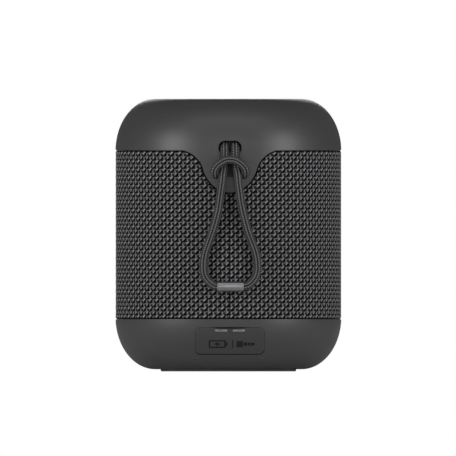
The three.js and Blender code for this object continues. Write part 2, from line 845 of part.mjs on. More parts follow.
addPart("driver_basket", driverBasket(), "screwSteel");
addPart("driver_gasket", driverGasket(), "foam");
addPart("driver_magnet", driverMagnet(), "ferrite");
addPart("driver_cone", driverCone(), "paper");
addPart("driver_surround", driverSurround(), "rubber");
driverScrewPlaces.forEach((place, i) => {
  addPart(`driver_screw_${i + 1}`, driverScrew(place), "screwSteel");
});

for (const [name, side] of [["left", -1], ["right", 1]]) {
  const pieces = radiator(side);
  addPart(`radiator_${name}_frame`, pieces.frame, "innerPlastic");
  addPart(`radiator_${name}_surround`, pieces.surround, "rubber");
  addPart(`radiator_${name}_plate`, pieces.plate, "aluminium");
}

export default speaker;
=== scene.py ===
import json
import math

import bpy
import numpy as np
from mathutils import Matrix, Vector

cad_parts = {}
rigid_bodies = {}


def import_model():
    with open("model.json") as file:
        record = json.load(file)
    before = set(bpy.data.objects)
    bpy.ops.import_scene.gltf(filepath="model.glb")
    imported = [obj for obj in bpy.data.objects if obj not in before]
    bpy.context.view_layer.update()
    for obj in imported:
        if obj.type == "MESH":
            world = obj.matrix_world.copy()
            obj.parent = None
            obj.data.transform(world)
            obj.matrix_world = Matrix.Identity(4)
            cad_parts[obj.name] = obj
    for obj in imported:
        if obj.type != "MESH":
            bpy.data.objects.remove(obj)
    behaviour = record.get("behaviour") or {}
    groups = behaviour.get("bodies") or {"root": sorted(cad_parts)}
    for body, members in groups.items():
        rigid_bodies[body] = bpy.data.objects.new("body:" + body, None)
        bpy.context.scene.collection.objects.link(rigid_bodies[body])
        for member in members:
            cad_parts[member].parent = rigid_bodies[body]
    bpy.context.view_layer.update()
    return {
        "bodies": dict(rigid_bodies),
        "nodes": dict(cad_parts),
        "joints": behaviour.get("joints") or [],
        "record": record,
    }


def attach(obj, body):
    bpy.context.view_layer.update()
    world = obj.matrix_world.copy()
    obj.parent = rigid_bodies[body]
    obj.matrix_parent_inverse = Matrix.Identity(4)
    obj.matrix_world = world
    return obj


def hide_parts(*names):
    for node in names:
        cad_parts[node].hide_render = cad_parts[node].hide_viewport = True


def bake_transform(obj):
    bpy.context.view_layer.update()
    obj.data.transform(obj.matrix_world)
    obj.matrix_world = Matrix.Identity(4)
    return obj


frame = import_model()
mm = 0.001
print("frame loaded")


def metres(*values):
    # a place or size in metres from millimetres
    return tuple(value * mm for value in values)


# Working helpers: selection, modelling and finishing

def selectNothing():
    bpy.ops.object.select_all(action="DESELECT")


def selectOnly(piece):
    selectNothing()
    piece.select_set(True)
    bpy.context.view_layer.objects.active = piece


def inEditMode(piece, mode="VERT"):
    selectOnly(piece)
    bpy.ops.object.mode_set(mode="EDIT")
    bpy.ops.mesh.select_mode(type=mode)


def backToObjectMode():
    bpy.ops.object.mode_set(mode="OBJECT")


def selectWhere(piece, kind, test):
    # in edit mode: selects the vertices, edges or faces that pass the test
    bpy.ops.mesh.select_all(action="DESELECT")
    backToObjectMode()
    for item in getattr(piece.data, kind):
        item.select = bool(test(item))
    bpy.ops.object.mode_set(mode="EDIT")


def applyModifier(piece, kind, **settings):
    selectOnly(piece)
    modifier = piece.modifiers.new(kind.lower(), kind)
    for name, value in settings.items():
        setattr(modifier, name, value)
    bpy.ops.object.modifier_apply(modifier=modifier.name)


def combine(piece, tool, operation):
    # joins, cuts or keeps the common part, and throws the tool away
    applyModifier(piece, "BOOLEAN", operation=operation, object=tool, solver="EXACT")
    bpy.data.objects.remove(tool, do_unlink=True)


def softenEdges(piece, width, segments=2, angle=32):
    applyModifier(
        piece, "BEVEL", width=width, segments=segments, limit_method="ANGLE",
        angle_limit=math.radians(angle), use_clamp_overlap=True,
    )


def tidyMesh(piece):
    # merges doubled points and turns every face outwards
    inEditMode(piece)
    bpy.ops.mesh.select_all(action="SELECT")
    bpy.ops.mesh.remove_doubles(threshold=0.002 * mm)
    bpy.ops.mesh.normals_make_consistent(inside=False)
    backToObjectMode()


def settle(piece):
    # puts the piece's place into its mesh
    selectOnly(piece)
    bpy.ops.object.transform_apply(location=True, rotation=True, scale=True)


def joinPieces(pieces, name):
    selectNothing()
    for piece in pieces:
        piece.select_set(True)
    bpy.context.view_layer.objects.active = pieces[0]
    if len(pieces) > 1:
        bpy.ops.object.join()
    pieces[0].name = name
    return pieces[0]


def smooth(piece, angle=30):
    selectOnly(piece)
    bpy.ops.object.shade_smooth_by_angle(angle=math.radians(angle))


def shiftMesh(piece, x, y):
    # moves the mesh sideways inside its object
    for vertex in piece.data.vertices:
        vertex.co.x += x * mm
        vertex.co.y += y * mm


def finishPiece(piece, name, body, material, replaced):
    piece.name = name
    piece.data.name = name
    piece.data.materials.clear()
    piece.data.materials.append(material)
    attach(piece, body)
    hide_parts(replaced)
    return piece


def outlineStrip(points):
    # one open chain of vertices through the points, drawn by extruding
    selectNothing()
    bpy.ops.mesh.primitive_plane_add(size=1 * mm, location=(0, 0, 0))
    strip = bpy.context.object
    bpy.ops.object.mode_set(mode="EDIT")
    bpy.ops.mesh.select_mode(type="VERT")
    bpy.ops.mesh.select_all(action="SELECT")
    bpy.ops.mesh.merge(type="CENTER")
    bpy.ops.transform.translate(value=points[0])
    for here, there in zip(points, points[1:]):
        step = Vector(there) - Vector(here)
        bpy.ops.mesh.extrude_region_move(TRANSFORM_OT_translate={"value": step})
    return strip


def spinOutline(points, steps=256, axis=(0, 0, 1), center=(0, 0, 0)):
    strip = outlineStrip(points)
    bpy.ops.mesh.select_all(action="SELECT")
    bpy.ops.mesh.spin(steps=steps, angle=2 * math.pi, center=center, axis=axis)
    backToObjectMode()
    tidyMesh(strip)
    return strip


def extrudeOutline(points, depth):
    slab = outlineStrip(points)
    bpy.ops.mesh.select_all(action="SELECT")
    bpy.ops.mesh.edge_face_add()
    bpy.ops.mesh.select_all(action="SELECT")
    bpy.ops.mesh.extrude_region_move(TRANSFORM_OT_translate={"value": depth})
    backToObjectMode()
    tidyMesh(slab)
    return slab


def block(low, high):
    # a box between two corners in millimetres, with its place in its mesh
    low, high = metres(*low), metres(*high)
    selectNothing()
    middle = [(a + b) / 2 for a, b in zip(low, high)]
    bpy.ops.mesh.primitive_cube_add(size=1, location=middle)
    piece = bpy.context.object
    piece.scale = [b - a for a, b in zip(low, high)]
    settle(piece)
    return piece


def roundedBlock(low, high, radius):
    # a box whose four edges from front to back are rounded
    piece = block(low, high)
    inEditMode(piece, "EDGE")
    places = piece.data.vertices

    def runsBack(edge):
        a, b = (places[i].co for i in edge.vertices)
        return abs(a.y - b.y) > 1e-6

    selectWhere(piece, "edges", runsBack)
    bpy.ops.mesh.bevel(offset=radius * mm, segments=10, affect="EDGES")
    backToObjectMode()
    return piece


def rod(radius, depth, middle, tilt=0, sides=96):
    # a cylinder round its middle, upright or tilted about the sideways axis
    selectNothing()
    bpy.ops.mesh.primitive_cylinder_add(
        vertices=sides, radius=radius * mm, depth=depth * mm, location=metres(*middle), rotation=(tilt, 0, 0),
    )
    settle(bpy.context.object)
    return bpy.context.object


def ellipsoid(center, radii):
    selectNothing()
    bpy.ops.mesh.primitive_uv_sphere_add(segments=72, ring_count=48, radius=1, location=metres(*center))
    piece = bpy.context.object
    piece.scale = metres(*radii)
    settle(piece)
    return piece


# Materials

def hexColor(code):
    # an sRGB hex value as linear colour
    parts = [int(code[i:i + 2], 16) / 255 for i in (0, 2, 4)]
    linear = [p / 12.92 if p <= 0.04045 else ((p + 0.055) / 1.055) ** 2.4 for p in parts]
    return (*linear, 1)


def addNode(tree, kind, settings=None, links=None):
    # settings are the node's own options or its sockets' values, links are what goes into its sockets
    node = tree.nodes.new(kind)
    for name, value in (settings or {}).items():
        if isinstance(name, str) and hasattr(node, name):
            setattr(node, name, value)
        else:
            node.inputs[name].default_value = value
    for name, source in (links or {}).items():
        tree.links.new(source, node.inputs[name])
    return node


def perMetre(millimetres):
    # a texture scale on Object coordinates from a real spacing
    return 1 / (millimetres * mm)


def newMaterial(name):
    material = bpy.data.materials.new(name)
    material.use_nodes = True
    material.node_tree.nodes.clear()
    return material, material.node_tree


def surfaceMaterial(
    name, color, roughness, metallic=0, ior=1.5, grain=0.3, grainHeight=0.004, mottle=0.06,
    mottleSize=12, roughnessSpread=0.06, stretch=(1, 1, 1), coat=0, sheen=0, transmission=0,
):
    # a plain finish with a fine surface grain, slight colour drift and uneven gloss
    material, tree = newMaterial(name)
    coordinates = addNode(tree, "ShaderNodeTexCoord")
    mapping = addNode(
        tree, "ShaderNodeMapping", {"Scale": stretch}, {"Vector": coordinates.outputs["Object"]}
    )
    drift = addNode(
        tree, "ShaderNodeTexNoise", {"Scale": perMetre(mottleSize), "Detail": 3, "Roughness": 0.6},
        {"Vector": mapping.outputs["Vector"]},
    )
    base = hexColor(color)
    darker = [c * (1 - mottle) for c in base[:3]] + [1]
    lighter = [min(1, c * (1 + mottle)) for c in base[:3]] + [1]
    shade = addNode(
        tree, "ShaderNodeMix", {"data_type": "RGBA", 6: darker, 7: lighter}, {0: drift.outputs["Fac"]}
    )
    fine = addNode(
        tree, "ShaderNodeTexNoise", {"Scale": perMetre(grain), "Detail": 2, "Roughness": 0.5},
        {"Vector": mapping.outputs["Vector"]},
    )
    gloss = addNode(
        tree, "ShaderNodeMapRange",
        {"To Min": roughness - roughnessSpread, "To Max": roughness + roughnessSpread},
        {"Value": drift.outputs["Fac"]},
    )
    bump = addNode(
        tree, "ShaderNodeBump", {"Strength": 0.6, "Distance": grainHeight * mm},
        {"Height": fine.outputs["Fac"]},
    )
    settings = {"Metallic": metallic}
    if not metallic:
        settings["IOR"] = ior
    if coat:
        settings["Coat Weight"] = coat
    if sheen:
        settings["Sheen Weight"] = sheen
        settings["Sheen Roughness"] = 0.6
    if transmission:
        settings["Transmission Weight"] = transmission
    shader = addNode(
        tree, "ShaderNodeBsdfPrincipled", settings,
        {"Base Color": shade.outputs[2], "Roughness": gloss.outputs[0], "Normal": bump.outputs["Normal"]},
    )
    addNode(tree, "ShaderNodeOutputMaterial", None, {"Surface": shader.outputs["BSDF"]})
    return material


# spark-eroded ABS: a soft satin with a grain just too fine to count
housingPlastic = surfaceMaterial(
    "sparkErodedAbs", "3d3d3e", 0.44, grain=0.35, grainHeight=0.006, mottle=0.03, mottleSize=25,
    roughnessSpread=0.03,
)
# moulded silicone: matte, a little waxy, slightly browner than the housing
siliconeRubber = surfaceMaterial(
    "mouldedSilicone", "353536", 0.5, ior=1.42, grain=0.25, grainHeight=0.005, mottle=0.04, sheen=0.1,
)
# silicone painted paler on the finger notch's two dimples: a painted glint, with a slightly lower roughness
paintedGlintSilicone = surfaceMaterial(
    "paintedGlintSilicone", "8a8a8c", 0.3, grain=0.25, grainHeight=0.002, mottle=0.04, roughnessSpread=0.03,
)
# pad-printed silicone ink in the signs: flat and nearly black
signInk = surfaceMaterial(
    "siliconeInk", "161617", 0.75, ior=1.42, grain=0.2, grainHeight=0.003, mottle=0.05,
)
# EPDM foot: dull, with a dusty bloom
footRubber = surfaceMaterial(
    "epdmFoot", "7c7c7e", 0.8, ior=1.52, grain=0.2, grainHeight=0.008, mottle=0.1, mottleSize=6,
)
# silicone keycaps with a soft-touch coat: slightly lighter than the pad
buttonRubber = surfaceMaterial(
    "softTouchKeycap", "3f3f41", 0.52, ior=1.45, grain=0.25, grainHeight=0.003, mottle=0.03,
)
# printed symbols: flat pale ink
symbolInk = surfaceMaterial(
    "padPrintedInk", "a9abad", 0.6, grain=0.15, grainHeight=0.002, mottle=0.04, mottleSize=3,
)
# satin anodised aluminium: fine lines run round the tube
anodisedAluminium = surfaceMaterial(
    "satinAnodisedAluminium", "9c9c9e", 0.36, metallic=1, grain=0.12, grainHeight=0.004, mottle=0.04,
    mottleSize=4, stretch=(6, 1, 1),
)
# stamped stainless steel: bright, with rolling lines
stainlessSteel = surfaceMaterial(
    "stampedStainless", "b9babc", 0.28, metallic=1, grain=0.2, grainHeight=0.002, stretch=(1, 8, 8),
)
# zinc-plated steel: greyish, cloudy plating
zincSteel = surfaceMaterial(
    "zincPlatedSteel", "a3a6ab", 0.36, metallic=1, grain=0.3, grainHeight=0.003, mottle=0.12, mottleSize=2,
)
# glass-filled nylon inside: dull with faint flow marks
innerPlastic = surfaceMaterial(
    "glassFilledNylon", "232527", 0.62, ior=1.53, grain=0.4, grainHeight=0.01, mottle=0.12, mottleSize=9,
)
# solder mask over woven glass: green, glossy, with a faint weave
solderMask = surfaceMaterial(
    "greenSolderMask", "1f5c38", 0.34, grain=0.5, grainHeight=0.004, mottle=0.1, mottleSize=3, coat=0.3,
)
# nylon switch bodies
switchNylon = surfaceMaterial("switchNylon", "27292b", 0.5, grain=0.3, mottle=0.05, mottleSize=2)
# moulded socket block
socketPlastic = surfaceMaterial("mouldedPbt", "161617", 0.42, grain=0.3, mottle=0.06, mottleSize=4)
# shrink sleeve on the cell: thin glossy film
shrinkSleeve = surfaceMaterial(
    "pvcShrinkSleeve", "2d6d9b", 0.28, ior=1.53, grain=1.5, grainHeight=0.01, mottle=0.05, coat=0.4,
)
# closed-cell foam gasket
gasketFoam = surfaceMaterial(
    "closedCellFoam", "2a2a2b", 0.92, grain=0.5, grainHeight=0.06, mottle=0.2, mottleSize=1,
)
# ferrite ring between plated plates
ferriteMagnet = surfaceMaterial(
    "sinteredFerrite", "404247", 0.55, metallic=0.6, grain=0.4, grainHeight=0.02, mottle=0.15, mottleSize=2,
)
# pressed paper pulp with visible fibres
conePaper = surfaceMaterial(
    "pressedPulp", "1e2022", 0.85, grain=0.6, grainHeight=0.05, mottle=0.25, mottleSize=1.5,
)
# satin metal radiator plate
radiatorMetal = surfaceMaterial(
    "satinAluminiumPlate", "a9abad", 0.38, metallic=1, grain=0.2, grainHeight=0.003, stretch=(1, 1, 8),
)
# clear polycarbonate light pipe, frosted at its end
lightPipePlastic = surfaceMaterial(
    "frostedPolycarbonate", "e4e7ea", 0.35, ior=1.58, grain=0.2, mottle=0.02, transmission=0.6,
)
print("plain materials made")


# The camera, level with the middle of the speaker, and soft studio light

view = {"turn": -0.81, "distance": 1.2, "width": 0.2019, "height": 63.5, "aside": -0.18, "aim": (0, 0, 0.065)}
turn = math.radians(view["turn"])
bpy.ops.object.camera_add(
    location=(
        math.sin(turn) * view["distance"] + view["aside"] * mm,
        -math.cos(turn) * view["distance"],
        view["height"] * mm,
    ),
    rotation=(math.pi / 2, 0, turn),
)
camera = bpy.context.object
camera.data.type = "ORTHO"
camera.data.ortho_scale = view["width"]
bpy.context.scene.camera = camera
bpy.context.scene.view_settings.view_transform = "Standard"

softboxes = [
    {"side": -57, "height": 0.2, "distance": 0.75, "width": 0.3, "tall": 0.42, "power": 2.9},
    {"side": 57, "height": 0.2, "distance": 0.75, "width": 0.3, "tall": 0.42, "power": 2.7},
    {"side": 0, "height": 0.26, "distance": 1.0, "width": 0.6, "tall": 0.4, "power": 1.3},
    {"side": 0, "height": 0.95, "distance": 0.55, "width": 1.5, "tall": 0.3, "power": 2.2},
    {"side": 180, "height": 0.2, "distance": 0.9, "width": 0.3, "tall": 0.4, "power": 1.6},
]
for number, light in enumerate(softboxes):
    side = math.radians(light["side"]) + turn
    away = light["distance"]
    place = Vector((math.sin(side) * away, -math.cos(side) * away, light["height"]))
    bpy.ops.object.light_add(type="AREA", location=place)
    lamp = bpy.context.object
    lamp.name = f"softbox{number + 1}"
    lamp.data.shape = "RECTANGLE"
    lamp.data.size = light["width"]
    lamp.data.size_y = light["tall"]
    lamp.data.energy = light["power"]
    aim = Vector(view["aim"]) - place
    lamp.rotation_euler = aim.to_track_quat("-Z", "Y").to_euler()

world = bpy.data.worlds.new("studio")
bpy.context.scene.world = world
world.use_nodes = True
world.node_tree.nodes.clear()
rays = addNode(world.node_tree, "ShaderNodeLightPath")
# the backdrop looks white, but only a tenth of it falls on the speaker
strength = addNode(
    world.node_tree, "ShaderNodeMapRange", {"To Min": 0.1, "To Max": 1.0},
    {"Value": rays.outputs["Is Camera Ray"]},
)
whiteRoom = addNode(
    world.node_tree, "ShaderNodeBackground", {"Color": hexColor("ffffff")}, {"Strength": strength.outputs[0]}
)
addNode(world.node_tree, "ShaderNodeOutputWorld", None, {"Surface": whiteRoom.outputs["Background"]})

selectNothing()
bpy.ops.mesh.primitive_plane_add(size=6, location=(0, 0, -0.0005))
floor = bpy.context.object
floor.name = "floor"
floor.data.materials.append(
    surfaceMaterial("paleFloor", "dedede", 0.9, grain=2, grainHeight=0.01, mottle=0.01, mottleSize=200)
)
print("camera, lights and floor set")


# The lanyard: one braided cord, hitched over the pin, with its ends in the ferrule

lanyard = {
    "radius": 1.95,
    "hang": 52.3,
    "swing": (-52.3, 84.4),
    "ring": 0.3,
    "sides": 48,
    "strandPitch": 0.95,
    "legLength": 52,
    "pinRadius": 1.6,
    "pinPlace": (-46, 96.3),
    "pinHalf": 6.3,
    "pinShoulder": 5.2,
    "ferruleMiddle": (0.2, -52.5, 37.6),
    "ferruleHalf": 5.95,
    "ferruleRadius": 2.25,
    "ferruleBore": 1.7,
}


def onCloth(x, z):
    return (x, -math.sqrt(lanyard["hang"] ** 2 - x ** 2), z)


leftLeg = [
    (-3.5, *lanyard["swing"]), onCloth(-4, 80.6), onCloth(-5.1, 72.5), onCloth(-6.4, 66.6),
    onCloth(-8.05, 61.1), onCloth(-9.6, 56.6), onCloth(-10.95, 52.4), onCloth(-11.6, 48),
    onCloth(-11.5, 44.2), onCloth(-10.7, 41.6), (-9.4, -51.55, 39.85), (-7.95, -52.1, 38.5),
    (-7.15, -52.4, 37.95), (-6.4, -52.5, 37.72), (-4, -52.5, 37.6), (0, -52.5, 37.6),
]
rightLeg = [
    (3.7, *lanyard["swing"]), onCloth(4.15, 80.6), onCloth(5.3, 72.5), onCloth(6.7, 66.6),
    onCloth(8.2, 61.1), onCloth(9.9, 56.6), onCloth(11.3, 52.4), onCloth(12, 48),
    onCloth(11.95, 44.2), onCloth(11.2, 41.75), (9.95, -51.45, 40), (8.45, -52.05, 38.55),
    (7.6, -52.35, 37.98), (6.85, -52.5, 37.72), (4.4, -52.5, 37.6), (0.5, -52.5, 37.6),
]


def overPin(x):
    # the half turn over the pin, from its front to its back
    pinY, pinZ = lanyard["pinPlace"]
    reach = lanyard["pinRadius"] + lanyard["radius"] + 0.05
    angles = [math.pi * i / 6 for i in range(7)]
    return [(x, pinY - reach * math.cos(angle), pinZ + reach * math.sin(angle)) for angle in angles]


def hitchHalf(side, legX):
    # up in front of the pin, over it, down behind it, and out under the front band
    places = [
        (legX - 0.15, -52.25, 86.7), (legX - 0.3, -52, 88), (3, -51.4, 89.6), (2.75, -50.5, 91.6),
        (2.5, -49.75, 93.8), *overPin(2.4), (2.5, -42.35, 94.2), (2.75, -42.8, 92.1),
        (2.95, -43.85, 90.5), (3.7, -45.7, 89.2), (5.05, -47.9, 87.95), (6, -49.7, 87.3),
        (6.6, -51.3, 87.4), (6.9, -52.7, 88.4), (6.65, -53.5, 89.9), (5.5, -53.8, 91.45),
        (3.8, -53.85, 92.75), (1.95, -53.7, 93.6),
    ]
    return [(side * x, y, z) for x, y, z in places]


hitch = hitchHalf(-1, 3.5) + [(0, -53.6, 93.85)] + hitchHalf(1, 3.7)[::-1]
cordPoints = leftLeg[::-1] + hitch + rightLeg


def smoothPath(points, step):
    # a centripetal Catmull-Rom curve through the points, walked in even steps
    places = [Vector(p) for p in points]
    places = [2 * places[0] - places[1]] + places + [2 * places[-1] - places[-2]]
    fine = []
    for a, b, c, d in zip(places, places[1:], places[2:], places[3:]):
        t0 = 0
        t1 = t0 + (b - a).length ** 0.5
        t2 = t1 + (c - b).length ** 0.5
        t3 = t2 + (d - c).length ** 0.5
        for k in range(40):
            t = t1 + (t2 - t1) * k / 40
            ab = a * (t1 - t) / (t1 - t0) + b * (t - t0) / (t1 - t0)
            bc = b * (t2 - t) / (t2 - t1) + c * (t - t1) / (t2 - t1)
            cd = c * (t3 - t) / (t3 - t2) + d * (t - t2) / (t3 - t2)
            abc = ab * (t2 - t) / (t2 - t0) + bc * (t - t0) / (t2 - t0)
            bcd = bc * (t3 - t) / (t3 - t1) + cd * (t - t1) / (t3 - t1)
            fine.append(abc * (t2 - t) / (t2 - t1) + bcd * (t - t1) / (t2 - t1))
    fine.append(places[-2])
    line = np.array(fine)
    along = np.concatenate([[0], np.cumsum(np.linalg.norm(np.diff(line, axis=0), axis=1))])
    count = int(along[-1] / step) + 1
    even = np.linspace(0, along[-1], count)
    return np.stack([np.interp(even, along, line[:, i]) for i in range(3)], axis=1), even


def carriedNormals(path, start):
    # a normal carried along the path without twist
    tangents = np.gradient(path, axis=0)
    tangents /= np.linalg.norm(tangents, axis=1)[:, None]
    normals = np.zeros_like(path)
    normal = np.array(start, float)
    for i, tangent in enumerate(tangents):
        normal = normal - tangent * normal.dot(tangent)
        normal /= np.linalg.norm(normal)
        normals[i] = normal
    return tangents, normals


def braidedCord():
    path, along = smoothPath(cordPoints, lanyard["ring"])
    tangents, normals = carriedNormals(path, (0, -1, 0))
    sides = np.cross(tangents, normals)

    # a slow twist keeps the groove facing out on both legs and on the front of the hitch
    length = along[-1]
    marks = [0, lanyard["legLength"], length / 2, length - lanyard["legLength"], length]
    twists = []
    for mark in marks:
        i = int(np.argmin(np.abs(along - mark)))
        twists.append(math.atan2(-sides[i][1], -normals[i][1]))
    twist = np.interp(along, marks, np.unwrap(twists))[:, None]
    cosine, sine = np.cos(twist), np.sin(twist)
    normals, sides = cosine * normals + sine * sides, cosine * sides - sine * normals
    count = lanyard["sides"]
    angles = 2 * np.pi * np.arange(count) / count

    # a deep groove down the middle of the outer face, beaded ribs beside it, flatter strands outside
    spread = np.degrees(np.abs((angles + np.pi) % (2 * np.pi) - np.pi))
    spread = np.minimum(spread, 180 - spread)[None, :]
    halfStep = 0.5 * (np.sin(angles) > 0)[None, :]
    beads = np.cos(2 * np.pi * (along[:, None] / lanyard["strandPitch"] + halfStep))
    rib = np.exp(-((spread - 22) / 10) ** 2)
    outerRib = np.exp(-((spread - 66) / 13) ** 2)
    groove = np.exp(-(spread / 8) ** 2)
    valley = np.exp(-((spread - 43) / 8) ** 2)
    radius = lanyard["radius"] * (
        0.93 + rib * (0.07 + 0.04 * beads) + outerRib * (0.05 - 0.03 * beads) - 0.17 * groove - 0.08 * valley
    )
    ends = np.minimum(along, length - along)[:, None]
    radius = radius * np.clip(0.7 + ends / 2, 0, 1)
    outwards = np.cos(angles)[None, :, None] * normals[:, None, :]
    outwards = outwards + np.sin(angles)[None, :, None] * sides[:, None, :]
    rings = path[:, None, :] + radius[:, :, None] * outwards
    vertices = (rings.reshape(-1, 3) * mm).tolist()
    faces = []
    for i in range(len(path) - 1):
        for j in range(count):
            k = (j + 1) % count
            faces.append((i * count + j, i * count + k, (i + 1) * count + k, (i + 1) * count + j))
    faces.append(tuple(range(count))[::-1])
    faces.append(tuple((len(path) - 1) * count + j for j in range(count)))
    mesh = bpy.data.meshes.new("lanyard_cord")
    mesh.from_pydata(vertices, [], faces)
    layer = mesh.uv_layers.new(name="cordMap")
    for polygon in mesh.polygons:
        for loop in polygon.loop_indices:
            corner = mesh.loops[loop].vertex_index
            ring, spoke = divmod(corner, count)
            around = spoke / count
            if spoke == 0 and polygon.index % count == count - 1:
                around = 1.0
            layer.data[loop].uv = (around, along[ring])
    piece = bpy.data.objects.new("lanyard_cord", mesh)
    bpy.context.collection.objects.link(piece)
    selectOnly(piece)
    bpy.ops.object.shade_smooth()
    tidyMesh(piece)
    return piece, path, float(length)


def cordMaterial():
    # braided polyester: the colour follows the braid's relief, paler on the two beaded ribs, with painted
    # shade in the groove, in the valleys and between the beads, and darker towards the sides
    material, tree = newMaterial("braidedPolyester")
    coordinates = addNode(tree, "ShaderNodeTexCoord")
    parts = addNode(tree, "ShaderNodeSeparateXYZ", None, {"Vector": coordinates.outputs["UV"]})
    fold = addNode(tree, "ShaderNodeMath", {"operation": "PINGPONG", 1: 0.25}, {0: parts.outputs["X"]})
    spread = addNode(tree, "ShaderNodeMath", {"operation": "MULTIPLY", 1: 4}, {0: fold.outputs[0]})
    across = addNode(tree, "ShaderNodeValToRGB", None, {"Fac": spread.outputs[0]})
    stops = across.color_ramp.elements
    stops[0].position = 0.08
    stops[0].color = hexColor("030303")
    stops[1].position = 1.0
    stops[1].color = hexColor("2c2c2d")
    # the darkest first stop and the valley stops are painted shade in the groove and the valleys
    ribs = [(0.18, "6a6a6c"), (0.31, "6a6a6c"), (0.64, "48484a"), (0.8, "444446")]
    valleyShade = [(0.42, "141414"), (0.52, "141414")]
    for place, color in ribs + valleyShade:
        stops.new(place).color = hexColor(color)
    # the beads lie half a step apart either side of the groove
    side = addNode(tree, "ShaderNodeMath", {"operation": "GREATER_THAN", 1: 0.5}, {0: parts.outputs["X"]})
    step = addNode(tree, "ShaderNodeMath", {"operation": "MULTIPLY", 1: 0.5}, {0: side.outputs[0]})
    along = addNode(
        tree, "ShaderNodeMath", {"operation": "MULTIPLY_ADD", 1: 1 / lanyard["strandPitch"]},
        {0: parts.outputs["Y"], 2: step.outputs[0]},
    )
    slant = addNode(
        tree, "ShaderNodeMath", {"operation": "MULTIPLY_ADD", 1: 0.9},
        {0: spread.outputs[0], 2: along.outputs[0]},
    )
    turn = addNode(tree, "ShaderNodeMath", {"operation": "MULTIPLY", 1: 2 * math.pi}, {0: slant.outputs[0]})
    wave = addNode(tree, "ShaderNodeMath", {"operation": "COSINE"}, {0: turn.outputs[0]})
    # the bead wave lightens the bead tops and puts painted shade between them; it also drives the bump
    beads = addNode(
        tree, "ShaderNodeMapRange", {"From Min": -1, "To Min": 0.3, "To Max": 1.1}, {"Value": wave.outputs[0]}
    )
    fibres = addNode(
        tree, "ShaderNodeTexNoise", {"Scale": perMetre(0.3), "Detail": 3},
        {"Vector": coordinates.outputs["Object"]},
    )
    fuzz = addNode(
        tree, "ShaderNodeMapRange", {"To Min": 0.7, "To Max": 1.3}, {"Value": fibres.outputs["Fac"]}
    )
    level = addNode(
        tree, "ShaderNodeMath", {"operation": "MULTIPLY"}, {0: beads.outputs[0], 1: fuzz.outputs[0]}
    )
    color = addNode(
        tree, "ShaderNodeVectorMath", {"operation": "SCALE"},
        {0: across.outputs["Color"], "Scale": level.outputs[0]},
    )
    bump = addNode(
        tree, "ShaderNodeBump", {"Strength": 0.8, "Distance": 0.12 * mm}, {"Height": level.outputs[0]}
    )
    shader = addNode(
        tree, "ShaderNodeBsdfPrincipled", {"Roughness": 0.8},
        {"Base Color": color.outputs[0], "Normal": bump.outputs["Normal"]},
    )
    addNode(tree, "ShaderNodeOutputMaterial", None, {"Surface": shader.outputs["BSDF"]})
    return material


cordPiece, cordPath, cordLength = braidedCord()
cordPiece.data.materials.append(cordMaterial())
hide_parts("lanyard_hitch", "lanyard_cord_left", "lanyard_cord_right")


def sidewaysSpin(profile, middle):
    # turns pairs of place and radius round a sideways axis through the middle
    x, y, z = middle
    outline = [metres(x + along, y, z + radius) for along, radius in profile]
    return spinOutline(outline, 64, axis=(1, 0, 0), center=metres(*middle))


def lanyardFerrule():
    # a short tube with softly rounded ends, crimped on both cord ends
    half, outer, bore = lanyard["ferruleHalf"], lanyard["ferruleRadius"], lanyard["ferruleBore"]
    rightHalf = [(half - 0.4, outer), (half - 0.12, outer - 0.1), (half, outer - 0.35)]
    rightHalf += [(half, bore + 0.15), (half - 0.6, bore)]
    leftHalf = [(-along, radius) for along, radius in rightHalf[::-1]]
    tube = sidewaysSpin(leftHalf + rightHalf + leftHalf[:1], lanyard["ferruleMiddle"])
    smooth(tube, 40)
    return finishPiece(
        tube, "ferrule_tube", "lanyard_loop", anodisedAluminium, "lanyard_ferrule"
    )


ferrule = lanyardFerrule()
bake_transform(cordPiece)
print("lanyard made, cord", round(cordLength, 1), "mm")


# The two housings: turned shells with quarter-ellipse ends

body = {
    "radius": 50, "bottom": 0.95, "top": 120.7, "cornerWidth": 17.6, "cornerHeight": 23, "wall": 2.4,
    "seamLow": 23, "seamHigh": 98, "gap": 0.15, "steps": 240,
    # the radii of the stepped rings at the cloth's edges, and a length that reaches past the body
    "ringInner": 45.2, "ringStep": 46.5, "ringOuter": 49.75, "cutReach": 60,
}

topPocket = {
    "tongueInner": 46.9, "tongueFoot": 77, "ring": (96.6, 97.86, 99.4),
    "walls": {"low": 82, "high": 104, "half": 10, "front": -48.4, "back": -38, "corner": 5},
    # the open top, the channel that the cord fills, and the wider room behind it
    "cuts": [
        {"low": 95.8, "high": 102.2, "half": 5.2, "front": -60, "back": -40, "corner": 3.1},
        {"low": 86, "high": 99, "half": 4.45, "front": -60, "back": -40, "corner": 1.6},
        {"low": 86, "high": 102, "half": 5.2, "front": -46.6, "back": -40, "corner": 3.3},
    ],
    "scoop": {"place": (5.7, -52.2, 88.2), "radii": (3.2, 9, 3.2)},
    "rim": 30.3, "rimDepth": 1.8, "well": 26.5, "wellFloor": 113, "ceiling": 116.6,
}

portBay = {
    "floor": 3.4, "foot": 30.3, "footDepth": 2.2, "ring": (21.4, 23.14, 24.4),
    "tub": ((-17.4, -41, 5.6), (17.4, -33.5, 21.6)), "tubCorner": 3.8,
    "bay": ((-15.42, -60, 7.4), (15.42, -35.5, 19.62)), "bayCorner": 2.6,
    "chargeHole": ((-10.2, -37, 11.2), (-1, -30, 15.6)), "audioHole": (7, -34, 13.4), "audioRadius": 3.6,
}


